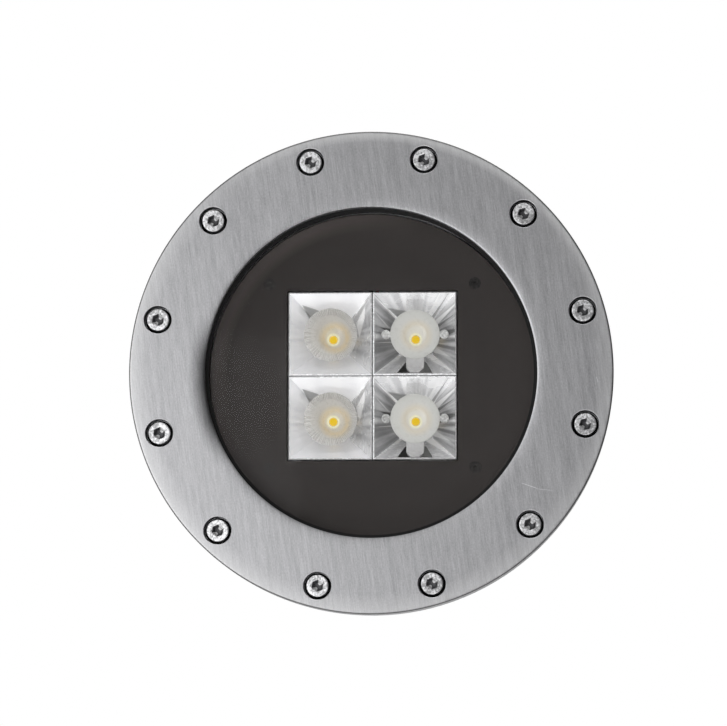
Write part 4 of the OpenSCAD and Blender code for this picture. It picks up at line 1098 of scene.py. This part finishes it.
def make_wire(node, route, thickness, material, slot):
    """A round wire along its route, closed at both ends."""
    deselect()
    line = bpy.data.curves.new(node + "_round", "CURVE")
    line.dimensions = "3D"
    line.bevel_depth = thickness / 2 * MM
    line.bevel_resolution = 3
    line.use_fill_caps = True
    path = line.splines.new("POLY")
    path.points.add(len(route) - 1)
    for point, place in zip(path.points, route):
        point.co = (*(c * MM for c in place), 1)
    piece = bpy.data.objects.new(node + "_round", line)
    bpy.context.scene.collection.objects.link(piece)
    choose(piece)
    bpy.ops.object.convert(target="MESH")
    piece = outward(bpy.context.object)
    fit(smooth(stand(piece), 50), material, slot, node)


def make_led_wire(node, x, material, slot):
    """A lead from the driver's socket up through the heat sink to the LED board's socket."""
    socket = 32.666 + x
    points = [(socket, 19.2, -63.4), (socket, 19.2, -61.4), (socket, 19.2, -59.4),
        (16.333 + x, 35.6, -47.25), (x, 52, -35.1), (x, 52, -31.1), (x, 52, -21.1),
        (x, 46.8, -15.6), (x, 42, -16.5), (x, 40, -16.5), (x, 38, -16.5)]
    last = len(points) - 1
    route = [between(points[max(i - 1, 0)], points[i], points[i + 1], points[min(i + 2, last)],
        k / 10) for i in range(last) for k in range(10)] + [points[last]]
    make_wire(node, route, 1.8, material, slot)


def make_winding():
    """Fourteen turns of copper wire on the inductor's ring, from the board and back to it."""
    turns, steps, sweep = 14, 24, 335
    ring_x, ring_y, ring_z, ring_r = -25.94, 7.68, -68.4 + 5.5, 7

    def on_turn(share, half):
        """A place on a turn's rounded square, from a circle's share and half a side."""
        return half * max(-1, min(1, share * math.sqrt(2) * 0.84))

    route = []
    for step in range(turns * steps + 1):
        turn = 2 * math.pi * step / steps
        place = math.radians(step / steps * sweep / turns)
        out = ring_r - on_turn(math.sin(turn), 2.5)
        route.append((ring_x + out * math.cos(place), ring_y + out * math.sin(place),
            ring_z - on_turn(math.cos(turn), 5)))
    make_wire("inductor_winding", route, 1.0, copper, "copper_wire")


def clean_copy(node, material, slot, width=0.25, body="light"):
    """A merged, smooth copy of a CAD node with its sharp edges just broken."""
    piece = copied(frame["nodes"][node], node + "_finished", Matrix())
    piece.parent = None
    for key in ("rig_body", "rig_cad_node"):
        if key in piece:
            del piece[key]
    choose(piece)
    edit(everything=True)
    bpy.ops.mesh.remove_doubles(threshold=MERGE * MM)
    bpy.ops.mesh.dissolve_limited(angle_limit=math.radians(0.5))
    leave()
    if width:
        broken(piece, width)
    return fit(smooth(piece), material, slot, node, body=body)


def keep(node, material):
    """Leaves a CAD node as it is, with a finish of this scene."""
    for place in frame["nodes"][node].material_slots:
        place.material = material


add_camera()
add_studio()
make_ring()
make_ring_screws()
make_washers()
for corner, across, up in (("upper_left", -1, 1), ("upper_right", 1, 1),
        ("lower_left", -1, -1), ("lower_right", 1, -1)):
    make_reflector("reflector_" + corner, across, up)
    make_lens("lens_" + corner, across, up)
    make_led(corner, across, up)
    keep("led_base_" + corner, ceramic)
for row in (("housing_flange", pot_steel, "turned_steel"),
        ("housing_pot", pot_steel, "turned_steel", 0.0),
        ("gland_body", gland_steel, "turned_steel"),
        ("gland_nut", gland_steel, "turned_steel", 0.25, "gland_cap"),
        ("gland_thrust_ring", brass, "brass", 0.15, "gland_ring"),
        ("gland_locknut", gland_steel, "turned_steel", 0.2),
        ("mask_plate", mask_paint, "mask_paint", 0.12)):
    clean_copy(*row)
make_led_wire("led_wire_red", 1.4, red_silicone, "red_insulation")
make_led_wire("led_wire_black", -1.4, black_silicone, "black_insulation")
make_winding()
for row in (("gland_seal", black_rubber, "black_rubber", 0.3),
        ("wire_grommet", black_rubber, "black_rubber"),
        ("capacitors", sleeve, "capacitor_sleeve", 0.5),
        ("inductor_core", ferrite, "ferrite", 0.4),
        ("driver_chips", black_plastic, "black_plastic", 0.15),
        ("terminal_block", green_plastic, "green_plastic", 0.12),
        ("output_socket", white_plastic, "white_plastic", 0.2),
        ("led_board_socket", black_plastic, "black_plastic", 0.2),
        ("mask_standoffs", brass, "brass", 0.15), ("heat_sink_pillars", brass, "brass", 0.15),
        ("driver_spacers", brass, "brass", 0.15),
        ("thermal_pad", pad_silicone, "pad_silicone", 0.1)):
    clean_copy(*row)
for node, material in {"cover_glass": glass, "glass_gasket": black_rubber,
        "mask_screws": black_steel, "led_board": white_board, "led_board_screws": shank_steel,
        "heat_sink": aluminium, "heat_sink_screws": shank_steel, "driver_board": green_board,
        "driver_screws": shank_steel, "terminal_screws": shank_steel,
        "gland_o_ring": black_rubber}.items():
    keep(node, material)
